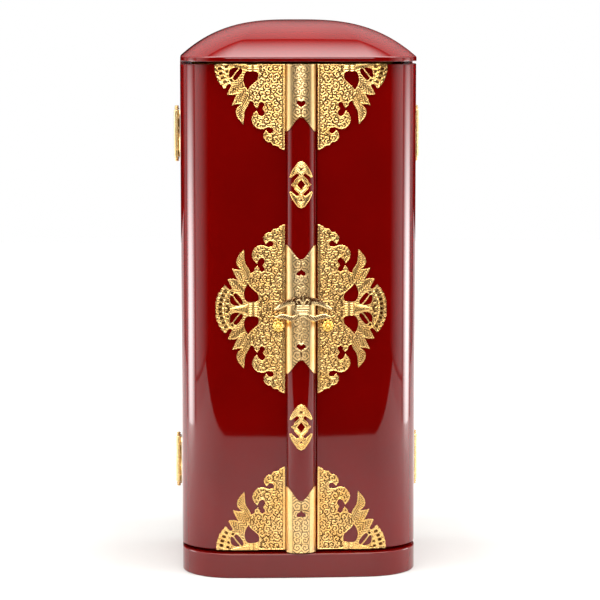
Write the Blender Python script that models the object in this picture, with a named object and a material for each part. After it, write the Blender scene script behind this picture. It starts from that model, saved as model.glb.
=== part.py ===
"""Portable shrine: a red lacquered cabinet with a domed roof, two curved doors and gilt brass fittings.

Metres, +Z up, the front faces -Y. The origin is the centre of the base's underside.
"""

import math

import bmesh
import bpy
from mathutils import Matrix, Vector
from mathutils.geometry import tessellate_polygon

MM = 0.001

# Cabinet
TOTAL_HEIGHT = 0.454
HALF_WIDTH = 0.0964
BASE_FRONT = 0.078
BASE_BACK = 0.078
BASE_HEIGHT = 0.020
BASE_CORNER = 0.042
BACK_CORNER = 0.003
FRONT_BOW = 1.200
BASE_ARRIS = 0.002
FOOT_ARRIS = 0.0008
ROOF_RISE = 0.034
FASCIA = 0.004
FASCIA_ARRIS = 0.001
ARCH_POWER = 2.9
DOME_SHIFT = 0.018
DOME_BACK_TURN = 0.050
FIT_GAP = 0.0003
DOOR_GAP = 0.002
BACK_SETBACK = 0.002
SIDE_THICKNESS = 0.009
BACK_THICKNESS = 0.008

# Doors
DOOR_OVERHANG = 0.0002
DOOR_SETBACK = 0.008
DOOR_CORNER = 0.038
DOOR_THICKNESS = 0.009
DOOR_END_GAP = 0.0006
HINGE_LINE_Y = -0.002

# Centre strip
STRIP_WIDTH = 0.023
STRIP_SIDE = 0.0006
STRIP_RISE = 0.0076
STRIP_END_GAP = 0.0008
SHEET_THICKNESS = 0.0007
SEAM_GAP = 0.0004
SEAM_BESIDE_STRIP = 0.0011

# Strip fittings. The rises are above the middle of the doors, or of the bare strip between two fittings.
TOP_FITTING_LENGTH = 0.0535
BOTTOM_FITTING_LENGTH = 0.0542
MIDDLE_FITTING_LENGTH = 0.1043
MIDDLE_RISE = 0.0005
NOTCH_DEPTH = 0.0112
NOTCH_SHARE = 0.40
HEART_WIDTH = 0.0075
HEART_HEIGHT = 0.0056
HEART_FROM_NOTCH = 0.0108
ORNAMENT_RISE = 0.0032
ORNAMENT_THICKNESS = 0.0008

# Door plates
PLATE_THICKNESS = 0.0009
PLATE_WIDTH = 0.0557
PLATE_HALF_HEIGHT = 0.0688
PLATE_FROM_EDGE = 0.0008
PLATE_FROM_FITTING = 0.0003

# Knobs and latch
KNOB_DROP = 0.0125
KNOB_SPREAD = 0.0401
KNOB_MIDDLE_X = 0.0014
KNOB_RADIUS = 0.005
KNOB_POST_RADIUS = 0.0022
KNOB_HEAD_DEPTH = 0.0045
KNOB_PETALS = 8
LATCH_THICKNESS = 0.0014
LATCH_CLEARANCE = 0.0007
LATCH_HALF_WIDTH = 0.025
LATCH_FLAT_HALF = 0.010
LATCH_CURL = 0.0052
LATCH_EYE_WALL = 0.0016
LATCH_ARM_WIDTH = 0.004
LATCH_ARM_TOP = 0.0082
LATCH_RISER_HEIGHT = 0.0016
LATCH_RISER_INSET = 0.0004
LATCH_EYE_STEP = 0.0001
RUNNING_CLEARANCE = 0.0003

# Hinges
HINGE_STANDOFF = 0.0004
KNUCKLE_RADIUS = 0.0025
PIN_RADIUS = 0.0009
KNUCKLE_LENGTHS = (0.0065, 0.0133, 0.0127, 0.0063)
KNUCKLE_GAP = 0.0003
LEAF_THICKNESS = 0.0008
LEAF_WIDTH = 0.0115
FINIAL_HEIGHT = 0.0035
FINIAL_RADIUS = 0.0022
LEAF_LOBE = 0.0025
TOP_HINGE_DROP = 0.058
BOTTOM_HINGE_RISE = 0.064

# Facets
CORNER_STEPS = 8
BOW_STEP = 0.018
ARCH_STEPS = 10
ROUND_STEPS = 10
EYE_STEPS = 12
CURVE_STEPS = 2
BACK_CORNER_STEPS = 3

# Places that follow from the sizes above
DOOR_HALF_WIDTH = HALF_WIDTH + DOOR_OVERHANG
DOOR_FRONT = BASE_FRONT - DOOR_SETBACK
ROOF_UNDERSIDE = TOTAL_HEIGHT - ROOF_RISE
DOOR_BOTTOM = BASE_HEIGHT + DOOR_GAP
DOOR_TOP = ROOF_UNDERSIDE - DOOR_GAP
STRIP_BOTTOM = BASE_HEIGHT + STRIP_END_GAP
SHELL_BACK = BASE_BACK - BACK_SETBACK
STRIP_BACK_Y = -(DOOR_FRONT + FIT_GAP)
STRIP_FRONT_Y = STRIP_BACK_Y - STRIP_SIDE - STRIP_RISE
FITTING_HALF_WIDTH = STRIP_WIDTH / 2 + FIT_GAP + SHEET_THICKNESS
LEFT_DOOR_EDGE = STRIP_WIDTH / 2 + SEAM_BESIDE_STRIP
RIGHT_DOOR_EDGE = LEFT_DOOR_EDGE + SEAM_GAP
LEFT_PLATE_EDGE = FITTING_HALF_WIDTH + PLATE_FROM_FITTING
RIGHT_PLATE_EDGE = RIGHT_DOOR_EDGE + PLATE_FROM_EDGE
PLATE_FRONT_Y = -(DOOR_FRONT + FIT_GAP + PLATE_THICKNESS)
LATCH_BACK_Y = STRIP_FRONT_Y - FIT_GAP - SHEET_THICKNESS - LATCH_CLEARANCE
LATCH_EYE_FRONT_Y = LATCH_BACK_Y + LATCH_EYE_STEP
LATCH_EYE_RADIUS = KNOB_POST_RADIUS + RUNNING_CLEARANCE + LATCH_EYE_WALL
KNOB_HEAD_Y = LATCH_EYE_FRONT_Y - RUNNING_CLEARANCE
KNUCKLE_BORE = PIN_RADIUS + RUNNING_CLEARANCE
HINGE_X = DOOR_HALF_WIDTH + KNUCKLE_RADIUS + HINGE_STANDOFF
HINGE_MIDDLES = {"top": DOOR_TOP - TOP_HINGE_DROP, "bottom": DOOR_BOTTOM + BOTTOM_HINGE_RISE}
MIDDLE_HEIGHT = (DOOR_TOP + DOOR_BOTTOM) / 2 + MIDDLE_RISE
MIDDLE_FITTING_BOTTOM = MIDDLE_HEIGHT - MIDDLE_FITTING_LENGTH / 2
MIDDLE_FITTING_TOP = MIDDLE_HEIGHT + MIDDLE_FITTING_LENGTH / 2
TOP_FITTING_BOTTOM = DOOR_TOP - TOP_FITTING_LENGTH
BOTTOM_FITTING_TOP = STRIP_BOTTOM + BOTTOM_FITTING_LENGTH
ORNAMENT_HEIGHTS = {
    "upper": (MIDDLE_FITTING_TOP + TOP_FITTING_BOTTOM) / 2 + ORNAMENT_RISE,
    "lower": (MIDDLE_FITTING_BOTTOM + BOTTOM_FITTING_TOP) / 2 + ORNAMENT_RISE,
}
KNOB_HEIGHT = MIDDLE_HEIGHT - KNOB_DROP

# Colours as linear red, green and blue
LACQUER = (0.16, 0.002, 0.001, 1)
BRASS = (0.85, 0.62, 0.30, 1)

# One quarter of a door plate in millimetres: outward from its inner edge, and away from its collar.
# Each run is smooth, and runs meet in points.
QUARTER_RUNS = (
    ((55.7, 0), (55.5, 5.6), (53.2, 12.8), (48.5, 19.4)),
    ((48.5, 19.4), (45.0, 15.9), (42.9, 16.5), (42.9, 18.2)),
    ((42.9, 18.2), (46.0, 24.3)),
    ((46.0, 24.3), (41.6, 24.5), (37.3, 23.1)),
    ((37.3, 23.1), (39.6, 26.9), (42.4, 32.9)),
    ((42.4, 32.9), (38.6, 32.0), (34.4, 31.8)),
    ((34.4, 31.8), (38.6, 36.2), (38.2, 41.8), (33.2, 48.1)),
    ((33.2, 48.1), (32.4, 38.3), (29.0, 32.0), (27.9, 28.8)),
    ((27.9, 28.8), (25.0, 30.6), (24.4, 32.9), (22.3, 35.0)),
    ((22.3, 35.0), (21.0, 33.0), (20.7, 31.0)),
    ((20.7, 31.0), (18.3, 30.0), (16.1, 32.2), (17.8, 35.8)),
    ((17.8, 35.8), (15.8, 38.8), (18.0, 42.0), (21.1, 40.4), (22.6, 37.2)),
    ((22.6, 37.2), (25.6, 41.0), (26.2, 45.8), (22.8, 50.6), (18.2, 51.8), (13.9, 50.3)),
    ((13.9, 50.3), (10.0, 51.0), (9.0, 54.0), (12.0, 55.8), (15.1, 53.1)),
    ((15.1, 53.1), (17.1, 57.5), (14.3, 60.7), (10.2, 62.6), (5.6, 65.6), (0, 68.8)),
)
FAN_WINDOW_OUTER = (
    (44.2, 11.3), (42.4, 10.5), (39.8, 6.7), (36.9, 2.9), (41.4, 3.1), (43.9, 4.9), (44.6, 8.2),
)
FAN_WINDOW_INNER = (
    (40.1, 13.1), (38.3, 12.1), (34.9, 8.0), (33.9, 5.1), (35.6, 3.6), (38.9, 7.4), (41.6, 11.3),
)
DROP_WINDOW = (
    (29.8, 20.9), (28.0, 18.2), (24.4, 14.9), (21.6, 12.0), (21.5, 6.9),
    (26.2, 5.7), (30.6, 6.0), (32.6, 9.0), (33.1, 12.7), (32.2, 16.8),
)

# One quarter of a strip ornament in millimetres, from its top point to its side
ORNAMENT_QUARTER = (
    (0, 19.0), (2.6, 17.8), (4.4, 15.4), (7.0, 11.8), (8.6, 8.6), (9.7, 5.8), (8.0, 5.6), (5.6, 7.4),
    (3.4, 9.3), (1.6, 8.4), (1.8, 7.0), (5.4, 3.6), (5.6, 1.9), (7.7, 0.6),
)
ORNAMENT_DIAMOND = ((3.2, 0), (0, 4.2), (-3.2, 0), (0, -4.2))
ORNAMENT_EYELET = ((-1.3, 13.3), (1.3, 13.3), (0, 11.1))

# Right half of the latch in millimetres, from the tip of its crest to its lowest middle point.
# Heights are above the knobs.
LATCH_RUNS = (
    ((0, 26.2), (1.6, 24.4), (3.4, 23.2)),
    ((3.4, 23.2), (9.0, 22.6), (16.5, 19.6), (25.0, 13.8)),
    ((25.0, 13.8), (20.5, 13.5), (13.0, 16.2), (5.2, 16.8)),
    ((5.2, 16.8), (5.2, 9.4)),
    ((5.2, 9.4), (9.0, 8.0), (15.0, 9.5), (19.0, 9.6), (24.0, 7.4)),
    ((24.0, 7.4), (20.0, 6.3), (15.0, 5.5), (9.8, 3.7), (4.6, 4.8), (0, 7.0)),
)


def clear_scene():
    for old in list(bpy.data.objects):
        bpy.data.objects.remove(old)


def smooth_run(points, steps):
    """A Catmull-Rom curve through the points."""
    ends = [points[0], *points, points[-1]]
    drawn = []
    for before, start, end, after in zip(ends, ends[1:], ends[2:], ends[3:]):
        for step in range(steps):
            t = step / steps
            point = []
            for a, b, c, d in zip(before, start, end, after):
                bend = (2 * a - 5 * b + 4 * c - d) * t**2 + (3 * b - a - 3 * c + d) * t**3
                point.append(0.5 * (2 * b + (c - a) * t + bend))
            drawn.append(tuple(point))
    return drawn + [tuple(points[-1])]


def join_runs(runs):
    """One line through several runs. A run of four points or more is drawn as a smooth curve."""
    line = []
    for run in runs:
        drawn = smooth_run(run, CURVE_STEPS) if len(run) > 3 else list(run)
        line += drawn if not line else drawn[1:]
    return line


def round_loop(radius, steps, middle=(0, 0)):
    turns = [2 * math.pi * step / steps for step in range(steps)]
    return [(middle[0] + radius * math.cos(turn), middle[1] + radius * math.sin(turn)) for turn in turns]


def plan_curve(half_width, front, corner, start_x, end_y, inset=0.0):
    """The right side of a bowed plan: along the front bow from start_x, round the corner, back to end_y."""
    bow_middle_y = FRONT_BOW - front
    meet = math.asin((half_width - corner) / (FRONT_BOW - corner))
    start = math.asin(start_x / FRONT_BOW)
    steps = max(1, round((meet - start) * FRONT_BOW / BOW_STEP))
    bow_angles = [start + (meet - start) * step / steps for step in range(steps)]
    corner_x = (FRONT_BOW - corner) * math.sin(meet)
    corner_y = bow_middle_y - (FRONT_BOW - corner) * math.cos(meet)
    turn = math.pi / 2 - meet
    corner_angles = [meet + turn * step / CORNER_STEPS for step in range(CORNER_STEPS + 1)]
    bow_radius = FRONT_BOW - inset
    corner_radius = corner - inset
    line = [(bow_radius * math.sin(a), bow_middle_y - bow_radius * math.cos(a)) for a in bow_angles]
    for angle in corner_angles:
        line.append((corner_x + corner_radius * math.sin(angle), corner_y - corner_radius * math.cos(angle)))
    return line + [(corner_x + corner_radius, end_y)]


def board_outline(inset=0.0, turn=BACK_CORNER):
    """The outline shared by base and roof, anticlockwise from above. turn is its back corners' radius."""
    back = BASE_BACK - inset
    right = plan_curve(HALF_WIDTH, BASE_FRONT, BASE_CORNER, 0, back - turn, inset)
    middle_x = right[-1][0] - turn
    for step in range(1, BACK_CORNER_STEPS + 1):
        angle = math.pi / 2 * step / BACK_CORNER_STEPS
        right.append((middle_x + turn * math.cos(angle), back - turn + turn * math.sin(angle)))
    return right + [(-x, y) for x, y in reversed(right[1:])]


def miters(line):
    """For each point of an open line, the step that moves it out by one unit square to both neighbours."""
    normals = []
    for (x0, y0), (x1, y1) in zip(line, line[1:]):
        length = math.hypot(x1 - x0, y1 - y0)
        normals.append(Vector(((y1 - y0) / length, -(x1 - x0) / length)))
    steps = []
    for before, after in zip([normals[0], *normals], [*normals, normals[-1]]):
        total = before + after
        steps.append(total * (2 / total.length_squared))
    return steps


def offset_line(line, distance):
    return [(x + step.x * distance, y + step.y * distance) for (x, y), step in zip(line, miters(line))]


def loft(rings):
    """A closed solid through rings of equal count, capped at both ends."""
    mesh = bmesh.new()
    rows = [[mesh.verts.new(point) for point in ring] for ring in rings]
    count = len(rows[0])
    for low, high in zip(rows, rows[1:]):
        for index in range(count):
            after = (index + 1) % count
            mesh.faces.new((low[index], low[after], high[after], high[index]))
    mesh.faces.new(rows[0])
    mesh.faces.new(rows[-1])
    bmesh.ops.recalc_face_normals(mesh, faces=mesh.faces)
    return mesh


def prism(loop, low, high):
    return loft([[(x, y, z) for x, y in loop] for z in (low, high)])


def curved_board(line, outside, inside, low, high):
    """A board that follows an open line in plan, between two distances from it."""
    return prism(offset_line(line, outside) + offset_line(line, inside)[::-1], low, high)


def pierced_plate(outline, windows, back, front):
    """A flat plate with windows: X along it, Z up it, Y from back to front of its thickness."""
    mesh = bmesh.new()
    loops = [outline, *windows]
    faces = tessellate_polygon([[Vector((x, z, 0)) for x, z in loop] for loop in loops])
    layers = [[[mesh.verts.new((x, depth, z)) for x, z in loop] for loop in loops] for depth in (back, front)]
    for layer in layers:
        flat = [vert for loop in layer for vert in loop]
        for a, b, c in faces:
            mesh.faces.new((flat[a], flat[b], flat[c]))
    for behind, ahead in zip(*layers):
        for index in range(len(behind)):
            after = (index + 1) % len(behind)
            mesh.faces.new((behind[index], behind[after], ahead[after], ahead[index]))
    bmesh.ops.recalc_face_normals(mesh, faces=mesh.faces)
    return mesh


def bend_along(mesh, line, start=0.0):
    """Bends a flat plate along a line in plan: X runs along the line from start, Y becomes distance out."""
    reach = [0.0]
    for (x0, y0), (x1, y1) in zip(line, line[1:]):
        reach.append(reach[-1] + math.hypot(x1 - x0, y1 - y0))
    outward = miters(line)
    for vert in mesh.verts:
        vert.co.x += start
    for along in reach[1:-1]:
        everything = mesh.verts[:] + mesh.edges[:] + mesh.faces[:]
        bmesh.ops.bisect_plane(mesh, geom=everything, dist=1e-6, plane_co=(along, 0, 0), plane_no=(1, 0, 0))
    for vert in mesh.verts:
        segment = 0
        while segment < len(line) - 2 and vert.co.x > reach[segment + 1]:
            segment += 1
        share = (vert.co.x - reach[segment]) / (reach[segment + 1] - reach[segment])
        ends = [Vector(line[i]) + outward[i] * vert.co.y for i in (segment, segment + 1)]
        place = ends[0].lerp(ends[1], share)
        vert.co = (place.x, place.y, vert.co.z)
    bmesh.ops.reverse_faces(mesh, faces=mesh.faces)
    return mesh


def mirrored(mesh):
    bmesh.ops.transform(mesh, matrix=Matrix.Diagonal((-1, 1, 1, 1)), verts=mesh.verts)
    bmesh.ops.reverse_faces(mesh, faces=mesh.faces)
    return mesh


def moved(mesh, offset):
    bmesh.ops.translate(mesh, vec=offset, verts=mesh.verts)
    return mesh


def add_object(name, mesh, parent=None):
    data = bpy.data.meshes.new(name)
    mesh.to_mesh(data)
    mesh.free()
    data.shade_smooth()
    data.set_sharp_from_angle(angle=math.radians(30))
    piece = bpy.data.objects.new(name, data)
    bpy.context.scene.collection.objects.link(piece)
    if parent:
        piece.parent = parent
        piece.matrix_parent_inverse = Matrix.Translation(parent.location).inverted()
    return piece


def finish(piece, colour, metallic, roughness):
    material = bpy.data.materials.new(piece.name)
    material.use_nodes = True
    shader = material.node_tree.nodes["Principled BSDF"]
    shader.inputs["Base Color"].default_value = colour
    shader.inputs["Metallic"].default_value = metallic
    shader.inputs["Roughness"].default_value = roughness
    piece.data.materials.append(material)


def lacquered(name, mesh, parent=None):
    piece = add_object(name, mesh, parent)
    finish(piece, LACQUER, 0, 0.12)
    return piece


def gilt(name, mesh, parent=None):
    piece = add_object(name, mesh, parent)
    finish(piece, BRASS, 1, 0.3)
    return piece


def fuse(piece, name, mesh):
    """Joins a hidden solid to a piece."""
    added = add_object(name, mesh, piece.parent)
    added.hide_render = True
    added.display_type = "WIRE"
    union = piece.modifiers.new(name, "BOOLEAN")
    union.operation = "UNION"
    union.solver = "EXACT"
    union.object = added


def axis_empty(name, place, parent=None):
    empty = bpy.data.objects.new(name, None)
    bpy.context.scene.collection.objects.link(empty)
    empty.location = place
    if parent:
        empty.parent = parent
        empty.matrix_parent_inverse = Matrix.Translation(parent.location).inverted()
        empty.location = place
    return empty


def quarter_turn(radius, steps):
    """How far in and up each step of a rounded edge is, from its foot to its top."""
    turns = [math.pi / 2 * step / steps for step in range(steps + 1)]
    return [(radius * (1 - math.cos(turn)), radius * math.sin(turn)) for turn in turns]


def level_ring(inset, z):
    return [(x, y, z) for x, y in board_outline(inset)]


def make_base():
    rings = [level_ring(FOOT_ARRIS, 0), level_ring(0, FOOT_ARRIS)]
    for inset, rise in quarter_turn(BASE_ARRIS, 3):
        rings.append(level_ring(inset, BASE_HEIGHT - BASE_ARRIS + rise))
    lacquered("base", loft(rings))


def make_roof():
    dome_rise = ROOF_RISE - FASCIA
    dome_foot = TOTAL_HEIGHT - dome_rise
    rings = [level_ring(FASCIA_ARRIS, ROOF_UNDERSIDE), level_ring(0, ROOF_UNDERSIDE + FASCIA_ARRIS)]
    rings.append(level_ring(0, dome_foot - FASCIA_ARRIS))
    for share in (0.99, 0.95, 0.88, 0.79, 0.68, 0.54, 0.36, 0.15):
        height = TOTAL_HEIGHT - dome_rise * share**ARCH_POWER
        outline = board_outline(0, BACK_CORNER + (1 - share) * DOME_BACK_TURN)
        rings.append([(x * share, DOME_SHIFT + (y - DOME_SHIFT) * share, height) for x, y in outline])
    rings[-1] = [(x, y, TOTAL_HEIGHT) for x, y, _ in rings[-1]]
    lacquered("roof", loft(rings))


def make_shell():
    low = BASE_HEIGHT + FIT_GAP
    high = ROOF_UNDERSIDE - FIT_GAP
    outer = DOOR_HALF_WIDTH
    inner = DOOR_HALF_WIDTH - SIDE_THICKNESS
    front = HINGE_LINE_Y + DOOR_END_GAP / 2
    for side, flip in (("right", 1), ("left", -1)):
        corners = [(inner, front), (outer, front), (outer, SHELL_BACK), (inner, SHELL_BACK)]
        board = prism([(x * flip, y) for x, y in corners], low, high)
        lacquered("side_board_" + side, board)
    edge = inner - FIT_GAP
    face = SHELL_BACK - BACK_THICKNESS
    corners = [(-edge, face), (edge, face), (edge, SHELL_BACK), (-edge, SHELL_BACK)]
    lacquered("back_board", prism(corners, low, high))


def door_line(start_x):
    return plan_curve(DOOR_HALF_WIDTH, DOOR_FRONT, DOOR_CORNER, start_x, HINGE_LINE_Y - DOOR_END_GAP / 2)


def make_door(side, start_x, hinge):
    panel = curved_board(door_line(start_x), 0, -DOOR_THICKNESS, DOOR_BOTTOM, DOOR_TOP)
    lacquered("door_panel_" + side, panel if side == "right" else mirrored(panel), hinge)


def quarter_outline():
    across = PLATE_WIDTH / QUARTER_RUNS[0][0][0]
    along = PLATE_HALF_HEIGHT / QUARTER_RUNS[-1][-1][1]
    outline = [(u * across, v * along) for u, v in join_runs(QUARTER_RUNS)]
    windows = (FAN_WINDOW_OUTER, FAN_WINDOW_INNER, DROP_WINDOW)
    return outline, [[(u * across, v * along) for u, v in window] for window in windows]


def plate_outline(place):
    """Outline and windows of a plate about its collar line."""
    outline, windows = quarter_outline()
    down = [(u, -v) for u, v in outline]
    windows_down = [[(u, -v) for u, v in window] for window in windows]
    if place == "middle":
        return outline + down[:0:-1], windows + windows_down
    if place == "top":
        return [(0, 0), *down], windows_down
    return [(0, 0), *outline], windows


def make_plates(side, start_x, edge, hinge):
    """edge is the plates' inner edge, measured like start_x towards the hinge."""
    heights = {"top": DOOR_TOP, "middle": MIDDLE_HEIGHT, "bottom": DOOR_BOTTOM}
    for place, height in heights.items():
        outline, windows = plate_outline(place)
        plate = pierced_plate(outline, windows, FIT_GAP, FIT_GAP + PLATE_THICKNESS)
        bend_along(plate, door_line(start_x), edge - start_x)
        moved(plate, (0, 0, height))
        gilt(f"door_plate_{side}_{place}", plate if side == "right" else mirrored(plate), hinge)


def strip_line():
    """Section of the centre strip: up its left side, over its half-round front, down its right side."""
    half = STRIP_WIDTH / 2
    shoulder = STRIP_BACK_Y - STRIP_SIDE
    turns = [math.pi * step / ARCH_STEPS for step in range(ARCH_STEPS + 1)]
    arch = [(-half * math.cos(turn), shoulder - STRIP_RISE * math.sin(turn)) for turn in turns]
    return [(-half, STRIP_BACK_Y), *arch, (half, STRIP_BACK_Y)]


def strip_reach():
    line = strip_line()
    return sum(math.dist(a, b) for a, b in zip(line, line[1:]))


def notch_edge(reach, corner_height, direction):
    """The ogee end of a strip fitting: high in the middle when direction is 1, low when it is -1."""
    steps = 12
    middle = reach / 2
    half = reach * NOTCH_SHARE
    edge = [(FIT_GAP, corner_height)]
    for step in range(steps + 1):
        share = 2 * step / steps - 1
        rise = NOTCH_DEPTH * (1 + math.cos(math.pi * share)) / 2
        edge.append((middle + half * share, corner_height + direction * rise))
    return edge + [(reach - FIT_GAP, corner_height)]


def heart(middle_x, middle_z, direction):
    """A heart whose point looks down when direction is 1."""
    points = []
    for step in range(12):
        turn = 2 * math.pi * (step + 0.5) / 12
        across = math.sin(turn) ** 3
        up = (13 * math.cos(turn) - 5 * math.cos(2 * turn) - 2 * math.cos(3 * turn) - math.cos(4 * turn)) / 28
        points.append((middle_x + across * HEART_WIDTH / 2, middle_z + direction * up * HEART_HEIGHT))
    return points


def make_strip(hinge):
    lacquered("centre_strip", prism(strip_line(), STRIP_BOTTOM, DOOR_TOP), hinge)
    reach = strip_reach()
    spans = {
        "top": (TOP_FITTING_BOTTOM, DOOR_TOP, True, False),
        "middle": (MIDDLE_FITTING_BOTTOM, MIDDLE_FITTING_TOP, True, True),
        "bottom": (STRIP_BOTTOM, BOTTOM_FITTING_TOP, False, True),
    }
    for place, (low, high, notch_below, notch_above) in spans.items():
        below = notch_edge(reach, low, 1) if notch_below else [(FIT_GAP, low), (reach - FIT_GAP, low)]
        above = notch_edge(reach, high, -1) if notch_above else [(FIT_GAP, high), (reach - FIT_GAP, high)]
        hearts = []
        if notch_below:
            hearts.append(heart(reach / 2, low + NOTCH_DEPTH + HEART_FROM_NOTCH, 1))
        if notch_above:
            hearts.append(heart(reach / 2, high - NOTCH_DEPTH - HEART_FROM_NOTCH, -1))
        sheet = pierced_plate(below + above[::-1], hearts, FIT_GAP, FIT_GAP + SHEET_THICKNESS)
        gilt("strip_fitting_" + place, bend_along(sheet, strip_line()), hinge)
    for place, height in ORNAMENT_HEIGHTS.items():
        gilt("strip_ornament_" + place, make_ornament(reach, height), hinge)


def make_ornament(reach, height):
    upper = [(x * MM, z * MM) for x, z in ORNAMENT_QUARTER]
    right = upper + [(x, -z) for x, z in reversed(upper)]
    outline = right + [(-x, z) for x, z in reversed(right[1:-1])]
    diamond = [(x * MM, z * MM) for x, z in ORNAMENT_DIAMOND]
    eyelets = [[(x * MM, z * MM * sign) for x, z in ORNAMENT_EYELET] for sign in (1, -1)]
    plate = pierced_plate(outline, [diamond, *eyelets], FIT_GAP, FIT_GAP + ORNAMENT_THICKNESS)
    bend_along(plate, strip_line(), reach / 2)
    return moved(plate, (0, 0, height))


def knob_x(side):
    return KNOB_MIDDLE_X + KNOB_SPREAD / 2 * (1 if side == "right" else -1)


def make_knob(side, hinge):
    """A turned post with a domed flower head."""
    foot = PLATE_FRONT_Y - FIT_GAP
    profile = [
        (KNOB_POST_RADIUS, foot, False),
        (KNOB_POST_RADIUS, KNOB_HEAD_Y, False),
        (KNOB_RADIUS * 0.90, KNOB_HEAD_Y, True),
        (KNOB_RADIUS, KNOB_HEAD_Y - KNOB_HEAD_DEPTH * 0.25, True),
        (KNOB_RADIUS * 0.90, KNOB_HEAD_Y - KNOB_HEAD_DEPTH * 0.60, True),
        (KNOB_RADIUS * 0.60, KNOB_HEAD_Y - KNOB_HEAD_DEPTH * 0.88, True),
        (KNOB_RADIUS * 0.22, KNOB_HEAD_Y - KNOB_HEAD_DEPTH, False),
    ]
    steps = KNOB_PETALS * 3
    rings = []
    for radius, y, petals in profile:
        ring = []
        for step in range(steps):
            turn = 2 * math.pi * step / steps
            dip = 0.88 if petals and step % 3 == 0 else 1.0
            ring.append((radius * dip * math.cos(turn), y, radius * dip * math.sin(turn)))
        rings.append(ring)
    gilt("knob_" + side, moved(loft(rings), (knob_x(side), 0, KNOB_HEIGHT)), hinge)


def latch_line():
    """Plan of the latch's back: flat over the strip, both ends curling forward clear of the doors' swing."""
    half = LATCH_HALF_WIDTH + 0.001
    steps = 7
    right = []
    for step in range(steps + 1):
        out = LATCH_FLAT_HALF + (half - LATCH_FLAT_HALF) * step / steps
        curl = LATCH_CURL * ((out - LATCH_FLAT_HALF) / (LATCH_HALF_WIDTH - LATCH_FLAT_HALF)) ** 2
        right.append((out, LATCH_BACK_Y - curl))
    return [(-x, y) for x, y in reversed(right)] + right


def make_latch(pivot):
    scale = LATCH_HALF_WIDTH / LATCH_RUNS[1][-1][0]
    right = [(x * scale, z * scale) for x, z in join_runs(LATCH_RUNS)]
    outline = right + [(-x, z) for x, z in reversed(right[1:-1])]
    line = latch_line()
    bar = pierced_plate(outline, [], 0, LATCH_THICKNESS)
    half_reach = sum(math.dist(a, b) for a, b in zip(line, line[1:])) / 2
    bend_along(bar, line, half_reach)
    latch = gilt("latch", moved(bar, (KNOB_MIDDLE_X, 0, KNOB_HEIGHT)), pivot)

    arm_half = LATCH_ARM_WIDTH / 2
    meet = math.asin(arm_half / LATCH_EYE_RADIUS)
    sweep = 2 * math.pi - 2 * meet
    turns = [math.pi / 2 - meet - sweep * step / EYE_STEPS for step in range(EYE_STEPS + 1)]
    eye = [(LATCH_EYE_RADIUS * math.cos(turn), LATCH_EYE_RADIUS * math.sin(turn)) for turn in turns]
    eye += [(-arm_half, LATCH_ARM_TOP), (arm_half, LATCH_ARM_TOP)]
    hole = round_loop(KNOB_POST_RADIUS + RUNNING_CLEARANCE, EYE_STEPS)
    eye_back = LATCH_EYE_FRONT_Y + LATCH_THICKNESS
    eye_mesh = pierced_plate(eye, [hole], eye_back, LATCH_EYE_FRONT_Y)
    place = (knob_x("left"), 0, KNOB_HEIGHT)
    fuse(latch, "latch_eye", moved(eye_mesh, place))

    riser_half = arm_half - LATCH_RISER_INSET
    riser_top = LATCH_ARM_TOP - LATCH_RISER_INSET
    riser_low = riser_top - LATCH_RISER_HEIGHT
    riser = [(-riser_half, riser_low), (riser_half, riser_low)]
    riser += [(riser_half, riser_top), (-riser_half, riser_top)]
    riser_back = (LATCH_EYE_FRONT_Y + eye_back) / 2
    riser_front = LATCH_BACK_Y - LATCH_THICKNESS * 2
    fuse(latch, "latch_riser", moved(pierced_plate(riser, [], riser_back, riser_front), place))


def knuckle_spans(low):
    spans = []
    for length in KNUCKLE_LENGTHS:
        spans.append((low + KNUCKLE_GAP / 2, low + length - KNUCKLE_GAP / 2))
        low += length
    return spans


def leaf_outline(own, others, low, high):
    """A hinge leaf: X away from the hinge's axis, Z up. It reaches under its own knuckles and is cut back
    beside the other leaf's."""
    reach_in = KNUCKLE_RADIUS * 0.4
    cut_back = KNUCKLE_RADIUS + RUNNING_CLEARANCE
    near = []
    for span in sorted(own + others):
        inner = reach_in if span in own else cut_back
        near += [(inner, span[0]), (inner, span[1])]
    middle = (low + high) / 2
    far = [
        (LEAF_WIDTH - LEAF_LOBE, high), (LEAF_WIDTH, high - LEAF_LOBE), (LEAF_WIDTH, middle + LEAF_LOBE),
        (LEAF_WIDTH - LEAF_LOBE / 2, middle), (LEAF_WIDTH, middle - LEAF_LOBE),
        (LEAF_WIDTH, low + LEAF_LOBE), (LEAF_WIDTH - LEAF_LOBE, low),
    ]
    return near + far


def tube(outer, inner, low, high):
    rims = [round_loop(radius, ROUND_STEPS) for radius in (outer, inner)]
    mesh = bmesh.new()
    rows = []
    for rim, z in ((rims[0], low), (rims[0], high), (rims[1], high), (rims[1], low)):
        rows.append([mesh.verts.new((x, y, z)) for x, y in rim])
    for row, following in zip(rows, rows[1:] + rows[:1]):
        for index in range(ROUND_STEPS):
            after = (index + 1) % ROUND_STEPS
            mesh.faces.new((row[index], row[after], following[after], following[index]))
    bmesh.ops.recalc_face_normals(mesh, faces=mesh.faces)
    return mesh


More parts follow.
